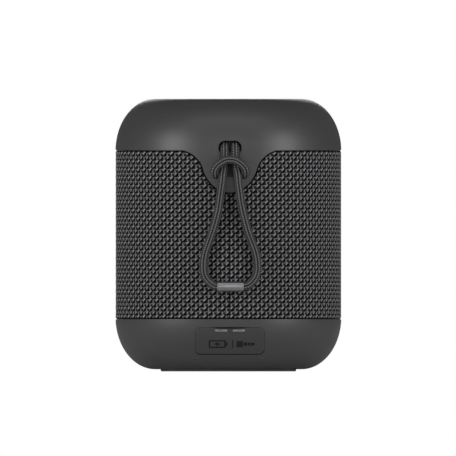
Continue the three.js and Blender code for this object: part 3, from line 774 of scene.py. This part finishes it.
def cornerArc(low, high, inset, steps):
    # points of the rounded end between two heights, pulled in by the inset
    atTop = high > body["top"] / 2
    centre = body["top"] - body["cornerHeight"] if atTop else body["bottom"] + body["cornerHeight"]
    rise = body["cornerHeight"] - inset
    reach = body["cornerWidth"] - inset
    start = math.asin(max(-1, min(1, (low - centre) / rise)))
    end = math.asin(max(-1, min(1, (high - centre) / rise)))
    points = []
    for i in range(steps + 1):
        angle = start + (end - start) * i / steps
        radius = body["radius"] - body["cornerWidth"] + reach * math.cos(angle)
        points.append((radius, centre + rise * math.sin(angle)))
    return points


def inMetres(profile):
    return [metres(radius, 0, height) for radius, height in profile]


def clothRing(ends):
    # a flange that the cloth's edge meets, with a narrower ring behind the cloth; ends run up or down
    thin, step, wide = ends
    inner, middle, outer = body["ringInner"], body["ringStep"], body["ringOuter"]
    profile = [(inner, thin), (middle, thin), (middle, step), (outer, step), (outer, wide), (inner, wide)]
    return spinOutline(inMetres(profile + profile[:1]), body["steps"])


def finishHousing(shell, width):
    softenEdges(shell, width * mm)
    smooth(shell, 34)
    applyModifier(shell, "WEIGHTED_NORMAL", keep_sharp=True, weight=80)


def tongueOutline(margin, steps=14):
    # the tongue's right side from its shoulder to its tip, then its left side back up
    shoulder = body["seamHigh"] + body["gap"]
    curves = [
        [(23.3, shoulder), (17, shoulder), (12.9, 93.4), (12, 89.8)],
        [(12, 89.8), (10.6, 84.5), (6, 79.2), (0, 79.2)],
    ]
    side = []
    for number, (a, b, c, d) in enumerate(curves):
        for i in range(number, steps + 1):
            t = i / steps
            s = 1 - t
            point = Vector([
                s ** 3 * a[k] + 3 * s * s * t * b[k] + 3 * s * t * t * c[k] + t ** 3 * d[k] for k in (0, 1)
            ])
            slope = Vector([
                s * s * (b[k] - a[k]) + 2 * s * t * (c[k] - b[k]) + t * t * (d[k] - c[k]) for k in (0, 1)
            ]).normalized()
            side.append((point.x - slope.y * margin, point.y + slope.x * margin))
    return side + [(-x, z) for x, z in side[-2::-1]]


def topHousing():
    low, reach = body["seamHigh"] + body["gap"], body["cutReach"]
    rim, well, wellFloor = topPocket["rim"], topPocket["well"], topPocket["wellFloor"]
    padFloor = body["top"] - topPocket["rimDepth"]
    profile = (
        [(0, wellFloor - 2), (well + 2, wellFloor - 2), (well + 2, topPocket["ceiling"])]
        + cornerArc(low, topPocket["ceiling"], body["wall"], 12)[::-1]
        + [(topPocket["tongueInner"], low), (topPocket["tongueInner"], topPocket["tongueFoot"])]
        + [(body["radius"], topPocket["tongueFoot"])]
        + cornerArc(low, body["top"], 0, 30)
        + [(rim, body["top"]), (rim, padFloor), (well, padFloor), (well, wellFloor), (0, wellFloor)]
    )
    shell = spinOutline(inMetres(profile), body["steps"])

    # everything below the cloth's top edge goes, apart from the tongue at the back
    rearCut = [(reach, low), (reach, 70), (-reach, 70), (-reach, low)] + tongueOutline(0)[::-1]
    cutter = extrudeOutline([metres(x, -reach, z) for x, z in rearCut], metres(0, 60.01, 0))
    combine(shell, cutter, "DIFFERENCE")
    combine(shell, block((-reach, 0, 70), (reach, reach, low)), "DIFFERENCE")

    combine(shell, clothRing(topPocket["ring"]), "UNION")
    for part in [topPocket["walls"], *topPocket["cuts"]]:
        low, high = (-part["half"], part["front"], part["low"]), (part["half"], part["back"], part["high"])
        operation = "UNION" if part is topPocket["walls"] else "DIFFERENCE"
        combine(shell, roundedBlock(low, high, part["corner"]), operation)
    scoopX, scoopY, scoopZ = topPocket["scoop"]["place"]
    for side in (-1, 1):
        scoop = ellipsoid((side * scoopX, scoopY, scoopZ), topPocket["scoop"]["radii"])
        combine(shell, scoop, "DIFFERENCE")
    finishHousing(shell, 0.3)
    finishPiece(shell, "top_shell", "root", housingPlastic, "top_housing")


def bottomHousing():
    high = body["seamLow"] - body["gap"]
    foot, footDepth = portBay["foot"], portBay["footDepth"]
    profile = (
        [(0, footDepth), (foot, footDepth), (foot, body["bottom"])]
        + cornerArc(body["bottom"], high, 0, 30)
        + cornerArc(portBay["floor"], high, body["wall"], 12)[::-1]
        + [(0, portBay["floor"])]
    )
    shell = spinOutline(inMetres(profile), body["steps"])
    combine(shell, clothRing(portBay["ring"][::-1]), "UNION")
    combine(shell, roundedBlock(*portBay["tub"], portBay["tubCorner"]), "UNION")
    combine(shell, roundedBlock(*portBay["bay"], portBay["bayCorner"]), "DIFFERENCE")
    combine(shell, block(*portBay["chargeHole"]), "DIFFERENCE")
    audioHole = rod(portBay["audioRadius"], 8, portBay["audioHole"], math.pi / 2, 48)
    combine(shell, audioHole, "DIFFERENCE")
    finishHousing(shell, 0.12)
    finishPiece(shell, "bottom_shell", "root", housingPlastic, "bottom_housing")


topHousing()
bottomHousing()
print("housings made")


# The port flap: a rubber cover cut from the same turned surface, with a finger notch and two sunk signs

flap = {
    "halfWidth": 15.3, "bottom": 7.7, "top": 19.5, "corner": 2.5, "thickness": 2.6, "engraved": 0.4,
    "line": 0.55, "chargeMiddle": (-5.6, 12.1), "audioMiddle": (7.2, 12.1), "divider": (1.3, 12.1, 0.4, 3.4),
    "battery": (7.4, 3.4), "groove": ((0, -50.2, 19.75), (14.2, 2.6, 0.7)),
    "slot": ((0, -50.3, 18.95), (8.6, 2.4, 0.5)), "notches": [(-4.3, -50.9, 18.4), (4.3, -50.9, 18.4)],
    "notchRadii": (3.2, 3.0, 0.6), "signArea": (12, 10, 14.2),
}


def cornerShell(inset, thickness):
    # a turned skin that follows the bottom housing's outside past the flap's edges
    outer = [(radius - inset, z) for radius, z in cornerArc(5, 22.5, 0, 30)]
    inner = [(radius - thickness, z) for radius, z in outer]
    return spinOutline(inMetres(outer + inner[::-1] + outer[:1]), body["steps"])


def bar(x, z, width, height):
    return block((x - width / 2, -60, z - height / 2), (x + width / 2, -40, z + height / 2))


def signShape(points, middle):
    x, z = middle
    return extrudeOutline([metres(x + px, -60, z + pz) for px, pz in points], metres(0, 20, 0))


def chargeSign():
    # a battery outline with a bolt in it
    x, z = flap["chargeMiddle"]
    line = flap["line"]
    width, height = flap["battery"]
    frame = bar(x, z, width, height)
    room = block(
        (x - width / 2 + line, -70, z - height / 2 + line), (x + width / 2 - line, -30, z + height / 2 - line)
    )
    combine(frame, room, "DIFFERENCE")
    bolt = [(0.5, 1.0), (-1.7, -0.2), (-0.25, -0.2), (-0.5, -1.0), (1.7, 0.2), (0.25, 0.2)]
    return [frame, bar(x + width / 2 + 0.45, z, 0.6, 1.5), signShape(bolt, (x, z))]


def audioSign():
    # a round plug with two rings and a pointed end
    x, z = flap["audioMiddle"]
    tip = [(2.0, 0.65), (2.9, 0.65), (3.9, 0.15), (3.9, -0.15), (2.9, -0.65), (2.0, -0.65)]
    plug = [bar(x - 2.9, z, 2.8, 2.6), bar(x - 0.45, z, 1.5, 1.3), bar(x + 1.1, z, 1.0, 1.3)]
    return plug + [signShape(tip, (x, z))]


def portFlap():
    cover = cornerShell(0.05, flap["thickness"])
    half, corner = flap["halfWidth"], flap["corner"]
    combine(cover, roundedBlock((-half, -60, flap["bottom"]), (half, -30, flap["top"]), corner), "INTERSECT")
    hollows = [flap["groove"], flap["slot"]] + [(place, flap["notchRadii"]) for place in flap["notches"]]
    for place, radii in hollows:
        combine(cover, ellipsoid(place, radii), "DIFFERENCE")
    softenEdges(cover, 0.12 * mm)
    signs = joinPieces([*chargeSign(), *audioSign(), bar(*flap["divider"])], "signs")
    skin = cornerShell(-1, 1 + flap["engraved"])
    combine(skin, signs, "INTERSECT")
    combine(cover, skin, "DIFFERENCE")
    smooth(cover, 34)
    finishPiece(cover, "flap_cover", "port_flap_body", siliconeRubber, "port_flap")

    # the finger notch's dimples get a painted glint in a paler colour, and the signs are filled with dark ink
    cover.data.materials.append(paintedGlintSilicone)
    cover.data.materials.append(signInk)
    signHalf, signLow, signHigh = flap["signArea"]
    for face in cover.data.polygons:
        # faces on the walls of the two notch dimples carry the painted glint
        for place in flap["notches"]:
            offset = [(c / mm - m) / r for c, m, r in zip(face.center, place, flap["notchRadii"])]
            if 0.9 < math.hypot(*offset) < 1.05:
                face.material_index = 1
        x, y, z = (value / mm for value in face.center)
        sunk = cornerArc(z, z, 0, 1)[0][0] - math.hypot(x, y) if signLow < z < signHigh else 0
        if abs(x) < signHalf and abs(sunk - flap["engraved"]) < 0.1:
            face.material_index = 2


portFlap()
print("port flap made")


# The knitted sleeve: a fine net of points over the tube, raised and sunk by the stitches

knit = {
    "periods": 79, "row": 3.61, "around": 790, "rows": 124, "bottom": 23.15, "top": 97.85, "depth": 0.42,
    "tuck": 0.75, "edgeGap": 0.25, "base": 0.33,
    # every stitch: its offset in the repeat, slope in degrees, half length, width, bend and height
    "ribs": [
        {"offset": (0.685, 0.185), "slope": 42, "half": 0.42, "width": 0.32, "bend": 0, "height": 1.0},
        {"offset": (0.165, 0.755), "slope": 46, "half": 0.40, "width": 0.38, "bend": 0, "height": 1.1},
        {"offset": (0.585, 0.555), "slope": 104, "half": 0.40, "width": 0.22, "bend": 0.3, "height": 0.78},
        {"offset": (0.135, 0.175), "slope": 90, "half": 0.38, "width": 0.28, "bend": 0.3, "height": 0.74},
        {"offset": (0.785, 0.765), "slope": 0, "half": 0.85, "width": 0.2, "bend": 0, "height": 0.55},
        {"offset": (0.415, 0.315), "slope": 0, "half": 1.05, "width": 0.2, "bend": 0, "height": 0.55},
    ],
    "holes": [
        {"offset": (0.285, 0.555), "slope": 45, "half": 0.45, "width": 0.4, "bend": 0, "height": 1.2},
        {"offset": (0.815, 0.045), "slope": 42, "half": 0.5, "width": 0.4, "bend": 0, "height": 1.2},
        {"offset": (0.475, 0.885), "slope": 90, "half": 0.2, "width": 0.26, "bend": 0, "height": 0.8},
        {"offset": (0.975, 0.215), "slope": 80, "half": 0.35, "width": 0.18, "bend": 0, "height": 0.6},
        {"offset": (0.825, 0.565), "slope": 0, "half": 0.15, "width": 0.28, "bend": 0, "height": 0.45},
        {"offset": (0.395, 0.125), "slope": 0, "half": 0.15, "width": 0.28, "bend": 0, "height": 0.45},
    ],
}
knit["period"] = 2 * math.pi * body["radius"] / knit["periods"]


def stitchLift(u, v, stitch):
    x = ((u / knit["period"] + 1.5 - stitch["offset"][0]) % 1 - 0.5) * knit["period"]
    y = ((v / knit["row"] + 1.5 - stitch["offset"][1]) % 1 - 0.5) * knit["row"]
    slope = math.radians(stitch["slope"])
    along = x * math.cos(slope) + y * math.sin(slope)
    across = y * math.cos(slope) - x * math.sin(slope) + stitch["bend"] * along ** 2
    distance = np.hypot(np.maximum(np.abs(along) - stitch["half"], 0), across)
    return stitch["height"] * np.exp(-(distance / (1.4 * stitch["width"])) ** 2)


def stitchHeight(u, v):
    # the same raised ribs and sunken holes as the material draws, softened to what the net of points can hold
    ribs = np.maximum.reduce([stitchLift(u, v, rib) for rib in knit["ribs"]])
    holes = np.maximum.reduce([stitchLift(u, v, hole) for hole in knit["holes"]])
    return np.clip((knit["base"] + (1 - knit["base"]) * ribs) * (1 - 0.8 * holes), 0, 1)


def fabricSleeve():
    count, rows = knit["around"], knit["rows"]
    around = (np.arange(count + 1) / count - 0.5) * 2 * np.pi
    heights = np.linspace(knit["bottom"], knit["top"], rows + 1)
    u = np.repeat((around * body["radius"])[None, :], rows + 1, axis=0)
    v = np.repeat(heights[:, None], count + 1, axis=1)

    # points inside the tongue's outline move onto it where a kept face needs them
    outline = np.array(tongueOutline(knit["edgeGap"], 60))
    angle = u / body["radius"]
    x = body["radius"] * np.sin(angle)
    near = (np.abs(angle) < 0.6) & (v > 77)
    inside = np.zeros_like(near)
    distance = np.full(u.shape, 99.0)
    nearest = np.stack([x, v], axis=-1)
    places = np.stack([x[near], v[near]], axis=-1)
    segments = outline[1:] - outline[:-1]
    away = places[:, None, :] - outline[None, :-1, :]
    share = np.clip((away * segments).sum(-1) / (segments ** 2).sum(-1), 0, 1)
    gaps = away - share[..., None] * segments
    lengths = np.hypot(gaps[..., 0], gaps[..., 1])
    best = lengths.argmin(1)
    picked = np.arange(len(places))
    distance[near] = lengths[picked, best]
    nearest[near] = outline[best] + share[picked, best][:, None] * segments[best]
    rightSide = outline[: len(outline) // 2 + 1][::-1]
    widths = np.interp(places[:, 1], rightSide[:, 1], rightSide[:, 0])
    inside[near] = (np.abs(places[:, 0]) < widths) & (places[:, 1] > outline[:, 1].min())

    relief = stitchHeight(u, v)
    seam = np.exp(-(u / 0.12) ** 2)
    relief = relief * (1 - 0.8 * seam)
    edge = np.minimum(np.minimum(v - knit["bottom"], knit["top"] - v), np.where(inside, 0, distance))
    tuck = np.clip(1 - edge / knit["tuck"], 0, 1) ** 2
    radius = body["radius"] - knit["depth"] * (1 - relief) - 0.5 * tuck
    moved = np.where(inside, np.arcsin(np.clip(nearest[..., 0] / body["radius"], -1, 1)), angle)
    high = np.where(inside, nearest[..., 1], v)
    points = np.stack([radius * np.sin(moved), -radius * np.cos(moved), high], axis=-1) * mm

    # each face takes the four points round it; the last column of points is the first one again
    def aroundFace(grid):
        return np.stack([grid[:-1, :-1], grid[:-1, 1:], grid[1:, 1:], grid[1:, :-1]], axis=2)

    index = np.arange((rows + 1) * (count + 1)).reshape(rows + 1, count + 1)
    index[:, count] = index[:, 0]
    kept = ~aroundFace(inside).all(axis=2)
    quads = aroundFace(index)[kept]
    corners = aroundFace(np.stack([u, v], axis=-1))[kept]
    used, renumbered = np.unique(quads, return_inverse=True)
    mesh = bpy.data.meshes.new("sleeve_cloth")
    mesh.from_pydata(points.reshape(-1, 3)[used].tolist(), [], renumbered.reshape(-1, 4).tolist())
    layer = mesh.uv_layers.new(name="cloth")
    layer.data.foreach_set("uv", corners.reshape(-1).astype(np.float32))
    shading = mesh.attributes.new("tuck", "FLOAT", "POINT")
    shading.data.foreach_set("value", tuck.reshape(-1)[used].astype(np.float32))
    piece = bpy.data.objects.new("sleeve_cloth", mesh)
    bpy.context.collection.objects.link(piece)
    inEditMode(piece)
    bpy.ops.mesh.select_all(action="SELECT")
    bpy.ops.mesh.delete_loose()
    bpy.ops.mesh.select_all(action="SELECT")
    bpy.ops.mesh.normals_make_consistent(inside=False)
    backToObjectMode()
    bpy.ops.object.shade_smooth()
    return piece


def knitMaterial():
    # knitted polyester: the colour follows the stitch relief, so the higher slanted loops read paler than the
    # lower upright ones as painted light and shade; the holes between them are dark where the dark frame
    # behind shows through, with painted shade in them too
    material, tree = newMaterial("knittedPolyester")
    coordinates = addNode(tree, "ShaderNodeTexCoord")
    waver = addNode(
        tree, "ShaderNodeTexNoise", {"Scale": perMetre(2.4), "Detail": 2},
        {"Vector": coordinates.outputs["Object"]},
    )
    centred = addNode(
        tree, "ShaderNodeVectorMath", {"operation": "SUBTRACT", 1: (0.5, 0.5, 0.5)},
        {0: waver.outputs["Color"]},
    )
    shift = addNode(
        tree, "ShaderNodeVectorMath", {"operation": "MULTIPLY", 1: (0.14, 0.14, 0)}, {0: centred.outputs[0]}
    )
    place = addNode(
        tree, "ShaderNodeVectorMath", {"operation": "ADD"},
        {0: coordinates.outputs["UV"], 1: shift.outputs[0]},
    )

    def stitch(rib):
        cells = addNode(
            tree, "ShaderNodeVectorMath",
            {"operation": "MULTIPLY_ADD", 1: (1 / knit["period"], 1 / knit["row"], 0),
             2: (1.5 - rib["offset"][0], 1.5 - rib["offset"][1], 0)},
            {0: place.outputs[0]},
        )
        whole = addNode(tree, "ShaderNodeVectorMath", {"operation": "FRACTION"}, {0: cells.outputs[0]})
        local = addNode(
            tree, "ShaderNodeVectorMath",
            {"operation": "MULTIPLY_ADD", 1: (knit["period"], knit["row"], 0),
             2: (-0.5 * knit["period"], -0.5 * knit["row"], 0)},
            {0: whole.outputs[0]},
        )
        turned = addNode(
            tree, "ShaderNodeVectorRotate", {"rotation_type": "Z_AXIS", "Angle": -math.radians(rib["slope"])},
            {"Vector": local.outputs[0]},
        )
        parts = addNode(tree, "ShaderNodeSeparateXYZ", None, {"Vector": turned.outputs[0]})
        squared = addNode(
            tree, "ShaderNodeMath", {"operation": "MULTIPLY"}, {0: parts.outputs["X"], 1: parts.outputs["X"]}
        )
        across = addNode(
            tree, "ShaderNodeMath", {"operation": "MULTIPLY_ADD", 1: rib["bend"]},
            {0: squared.outputs[0], 2: parts.outputs["Y"]},
        )
        reach = addNode(tree, "ShaderNodeMath", {"operation": "ABSOLUTE"}, {0: parts.outputs["X"]})
        past = addNode(
            tree, "ShaderNodeMath", {"operation": "SUBTRACT", 1: rib["half"]}, {0: reach.outputs[0]}
        )
        beyond = addNode(tree, "ShaderNodeMath", {"operation": "MAXIMUM", 1: 0}, {0: past.outputs[0]})
        both = addNode(tree, "ShaderNodeCombineXYZ", None, {"X": beyond.outputs[0], "Y": across.outputs[0]})
        distance = addNode(tree, "ShaderNodeVectorMath", {"operation": "LENGTH"}, {0: both.outputs[0]})
        return addNode(
            tree, "ShaderNodeMapRange",
            {"interpolation_type": "SMOOTHSTEP", "From Min": 1.9 * rib["width"],
             "From Max": 0.25 * rib["width"], "To Min": 0, "To Max": rib["height"]},
            {"Value": distance.outputs["Value"]},
        )

    def highest(stitches):
        top = stitches[0].outputs[0]
        for other in stitches[1:]:
            higher = addNode(tree, "ShaderNodeMath", {"operation": "MAXIMUM"}, {0: top, 1: other.outputs[0]})
            top = higher.outputs[0]
        return top

    ribs = highest([stitch(rib) for rib in knit["ribs"]])
    holes = highest([stitch(hole) for hole in knit["holes"]])
    # the holes go nearly black: partly the dark frame showing through, partly painted shade
    holeDarkness = addNode(tree, "ShaderNodeMath", {"operation": "MULTIPLY_ADD", 1: -0.97, 2: 1}, {0: holes})
    fibres = addNode(
        tree, "ShaderNodeTexNoise", {"Scale": perMetre(0.45), "Detail": 3, "Roughness": 0.7},
        {"Vector": coordinates.outputs["Object"]},
    )
    base = addNode(
        tree, "ShaderNodeMapRange", {"To Min": 0.7 * knit["base"], "To Max": 1.3 * knit["base"]},
        {"Value": fibres.outputs["Fac"]},
    )
    raised = addNode(
        tree, "ShaderNodeMath", {"operation": "MULTIPLY_ADD", 1: 1 - knit["base"]},
        {0: ribs, 2: base.outputs[0]},
    )
    # the seam at the rear: a dark line
    parts = addNode(tree, "ShaderNodeSeparateXYZ", None, {"Vector": coordinates.outputs["UV"]})
    seamReach = addNode(tree, "ShaderNodeMath", {"operation": "ABSOLUTE"}, {0: parts.outputs["X"]})
    seam = addNode(
        tree, "ShaderNodeMapRange",
        {"interpolation_type": "SMOOTHSTEP", "From Min": 0.08, "From Max": 0.3, "To Min": 0.15, "To Max": 1},
        {"Value": seamReach.outputs[0]},
    )
    # the edges tucked under the housings and the tongue fall into shade
    tucked = addNode(tree, "ShaderNodeAttribute", {"attribute_name": "tuck"})
    shade = addNode(
        tree, "ShaderNodeMapRange",
        {"interpolation_type": "SMOOTHSTEP", "From Min": 0.1, "From Max": 0.55, "To Min": 1, "To Max": 0.12},
        {"Value": tucked.outputs["Fac"]},
    )
    level = raised
    for factor in (holeDarkness, seam, shade):
        level = addNode(
            tree, "ShaderNodeMath", {"operation": "MULTIPLY"}, {0: level.outputs[0], 1: factor.outputs[0]}
        )
    # the ramp turns the relief height into colour: painted shade on the low parts, paler rib tops
    ramp = addNode(tree, "ShaderNodeValToRGB", None, {"Fac": level.outputs[0]})
    stops = ramp.color_ramp.elements
    stops[0].position = 0.08
    stops[0].color = hexColor("010101")
    stops[1].position = 1.0
    stops[1].color = hexColor("8e8e90")
    stops.new(0.42).color = hexColor("2e2e2f")
    bump = addNode(
        tree, "ShaderNodeBump", {"Strength": 0.9, "Distance": 0.3 * mm}, {"Height": level.outputs[0]}
    )
    shader = addNode(
        tree, "ShaderNodeBsdfPrincipled", {"Roughness": 0.88, "Specular IOR Level": 0.12},
        {"Base Color": ramp.outputs["Color"], "Normal": bump.outputs["Normal"]},
    )
    addNode(tree, "ShaderNodeOutputMaterial", None, {"Surface": shader.outputs["BSDF"]})
    return material


sleeve = finishPiece(fabricSleeve(), "sleeve_cloth", "root", knitMaterial(), "fabric_sleeve")
print("sleeve made")


# The control pad and its buttons, each with a printed symbol

controls = {
    "padRadius": 30, "padLow": 119.2, "padHigh": 120.4, "top": 120.65, "flange": 118.1, "clearance": 0.25,
    "stemRadius": 1.5, "stemLow": 116.9, "ink": 0.04, "inkDepth": 0.12, "line": 0.55,
    "lightY": -24, "lightHole": 1.2,
    "buttons": {
        "play": {"center": (0, 0), "radius": 6.5},
        "volume_up": {"center": (15.5, 0), "radius": 4.5},
        "volume_down": {"center": (-15.5, 0), "radius": 4.5},
        "power": {"center": (0, -15.5), "radius": 4.5},
        "pair": {"center": (0, 15.5), "radius": 4.5},
    },
}


def inkShape(points, center):
    x, y = center
    low = controls["top"] - controls["inkDepth"]
    rise = controls["inkDepth"] + controls["ink"]
    return extrudeOutline([metres(x + px, y + py, low) for px, py in points], metres(0, 0, rise))


def inkBar(x, y, width, height):
    w, h = width / 2, height / 2
    return [(x - w, y - h), (x + w, y - h), (x + w, y + h), (x - w, y + h)]


def inkRing(radius, center):
    inner, outer = radius - controls["line"] / 2, radius + controls["line"] / 2
    low, high = controls["top"] - controls["inkDepth"], controls["top"] + controls["ink"]
    ring = spinOutline(inMetres([(inner, low), (outer, low), (outer, high), (inner, high), (inner, low)]), 64)
    shiftMesh(ring, *center)
    return ring


def buttonSymbol(name):
    # upright for someone who stands on the lanyard's side
    center = controls["buttons"][name]["center"]
    x, y = center
    line = controls["line"]
    if name == "play":
        triangle = [(-2.6, -1.7), (0.3, 0), (-2.6, 1.7)]
        bars = [inkBar(1.2, 0, 0.7, 3.2), inkBar(2.5, 0, 0.7, 3.2)]
        return [inkShape(shape, center) for shape in [triangle, *bars]]
    if name == "volume_up":
        arm, thin = 1.7, line / 2
        corner = [(-arm, -thin), (-thin, -thin), (-thin, -arm)]
        right = [(-px, py) for px, py in corner[::-1]]
        plus = corner + right + [(-px, -py) for px, py in corner + right]
        return [inkShape(plus, center)]
    if name == "volume_down":
        return [inkShape(inkBar(0, 0, 3.4, line), center)]
    if name == "power":
        ring = inkRing(1.6, center)
        combine(ring, block((x - 0.75, y, 119), (x + 0.75, y + 4, 122)), "DIFFERENCE")
        return [ring, inkShape(inkBar(0, 1.2, line, 1.9), center)]
    return [inkRing(1.15, (x - 0.95, y)), inkRing(1.15, (x + 0.95, y))]


def makeButton(name):
    radius = controls["buttons"][name]["radius"]
    stem, stemLow, flange = controls["stemRadius"], controls["stemLow"], controls["flange"]
    top = controls["top"]
    ledge = controls["padLow"] - 0.3
    profile = [(0, stemLow), (stem, stemLow), (stem, flange), (radius + 1, flange), (radius + 1, ledge)]
    profile += [(radius, ledge), (radius, top - 0.35), (radius - 0.1, top - 0.14)]
    profile += [(radius - 0.32, top - 0.03), (radius - 0.6, top), (0, top)]
    cap = spinOutline(inMetres(profile), 96)
    shiftMesh(cap, *controls["buttons"][name]["center"])
    smooth(cap)
    cap.data.materials.append(buttonRubber)
    symbol = joinPieces(buttonSymbol(name), f"symbol_{name}")
    symbol.data.materials.append(symbolInk)
    button = joinPieces([cap, symbol], f"cap_{name}")
    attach(button, f"button_{name}_body")
    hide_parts(f"button_{name}")


def controlPad():
    low, high = controls["padLow"], controls["padHigh"]
    middle = (low + high) / 2
    pad = rod(controls["padRadius"], high - low, (0, 0, middle), sides=192)
    for button in controls["buttons"].values():
        hole = rod(button["radius"] + controls["clearance"], high - low + 2, (*button["center"], middle))
        combine(pad, hole, "DIFFERENCE")
    lightHole = rod(controls["lightHole"], high - low + 2, (0, controls["lightY"], middle), sides=48)
    combine(pad, lightHole, "DIFFERENCE")
    softenEdges(pad, 0.22 * mm, 3, 40)
    smooth(pad, 34)
    finishPiece(pad, "pad_top", "root", siliconeRubber, "control_pad")


controlPad()
for name in controls["buttons"]:
    makeButton(name)


def statusLight():
    # a clear rod with a domed end, up through the pad
    dome = [(1, 120.15), (0.9, 120.3), (0.7, 120.38), (0, 120.4)]
    pipe = spinOutline(inMetres([(0, 115.2), (1, 115.2), *dome]), 48)
    shiftMesh(pipe, 0, controls["lightY"])
    smooth(pipe, 40)
    finishPiece(pipe, "light_end", "root", lightPipePlastic, "status_light_pipe")


statusLight()


def footPad():
    # a rubber disc with three shallow rings in its sole and a rounded rim
    ringDepth, rise = 0.5, 1.9
    profile = [(0, 0)]
    for start, flatStart, flatEnd, end in [(9, 9.4, 10.6, 11), (18, 18.4, 19.6, 20), (27, 27.4, 28.2, 28.6)]:
        profile += [(start, 0), (flatStart, ringDepth), (flatEnd, ringDepth), (end, 0)]
    profile += [(29.5, 0), (29.85, 0.15), (30, ringDepth), (30, rise), (0, rise)]
    pad = spinOutline(inMetres(profile), 192)
    smooth(pad)
    finishPiece(pad, "foot_sole", "root", footRubber, "foot_pad")


footPad()


def lanyardBar():
    # the moulded bar across the pocket, with thicker shoulders where it meets the walls
    half, shoulder, radius = lanyard["pinHalf"], lanyard["pinShoulder"], lanyard["pinRadius"]
    waist = shoulder - 0.5
    profile = [(-half, 0), (-half, radius), (-shoulder, radius), (-waist, radius - 0.06)]
    profile += [(-along, r) for along, r in profile[::-1]]
    pocketBar = sidewaysSpin(profile, (0, *lanyard["pinPlace"]))
    smooth(pocketBar, 35)
    finishPiece(pocketBar, "pocket_bar", "root", housingPlastic, "lanyard_pin")


lanyardBar()
print("controls, foot and bar made")


# The pieces inside and behind keep their CAD shapes and get the materials of what they are

insideLooks = {
    "grille_frame": innerPlastic, "control_board": solderMask, "main_board": solderMask,
    "usb_socket": stainlessSteel, "aux_socket": socketPlastic, "battery_cell": shrinkSleeve,
    "battery_holder": innerPlastic, "cabinet_front": innerPlastic, "cabinet_rear": innerPlastic,
    "cabinet_gasket": gasketFoam, "driver_basket": zincSteel, "driver_gasket": gasketFoam,
    "driver_magnet": ferriteMagnet, "driver_cone": conePaper, "driver_surround": siliconeRubber,
}
for side in ("left", "right"):
    insideLooks[f"radiator_{side}_frame"] = innerPlastic
    insideLooks[f"radiator_{side}_surround"] = siliconeRubber
    insideLooks[f"radiator_{side}_plate"] = radiatorMetal
for name in controls["buttons"]:
    insideLooks[f"switch_{name}"] = switchNylon
for number in range(1, 5):
    for kind in ("cap", "housing", "driver"):
        insideLooks[f"{kind}_screw_{number}"] = zincSteel
for name, material in insideLooks.items():
    node = frame["nodes"][name]
    node.data.materials.clear()
    node.data.materials.append(material)
    smooth(node, 35)
print("inner pieces finished")
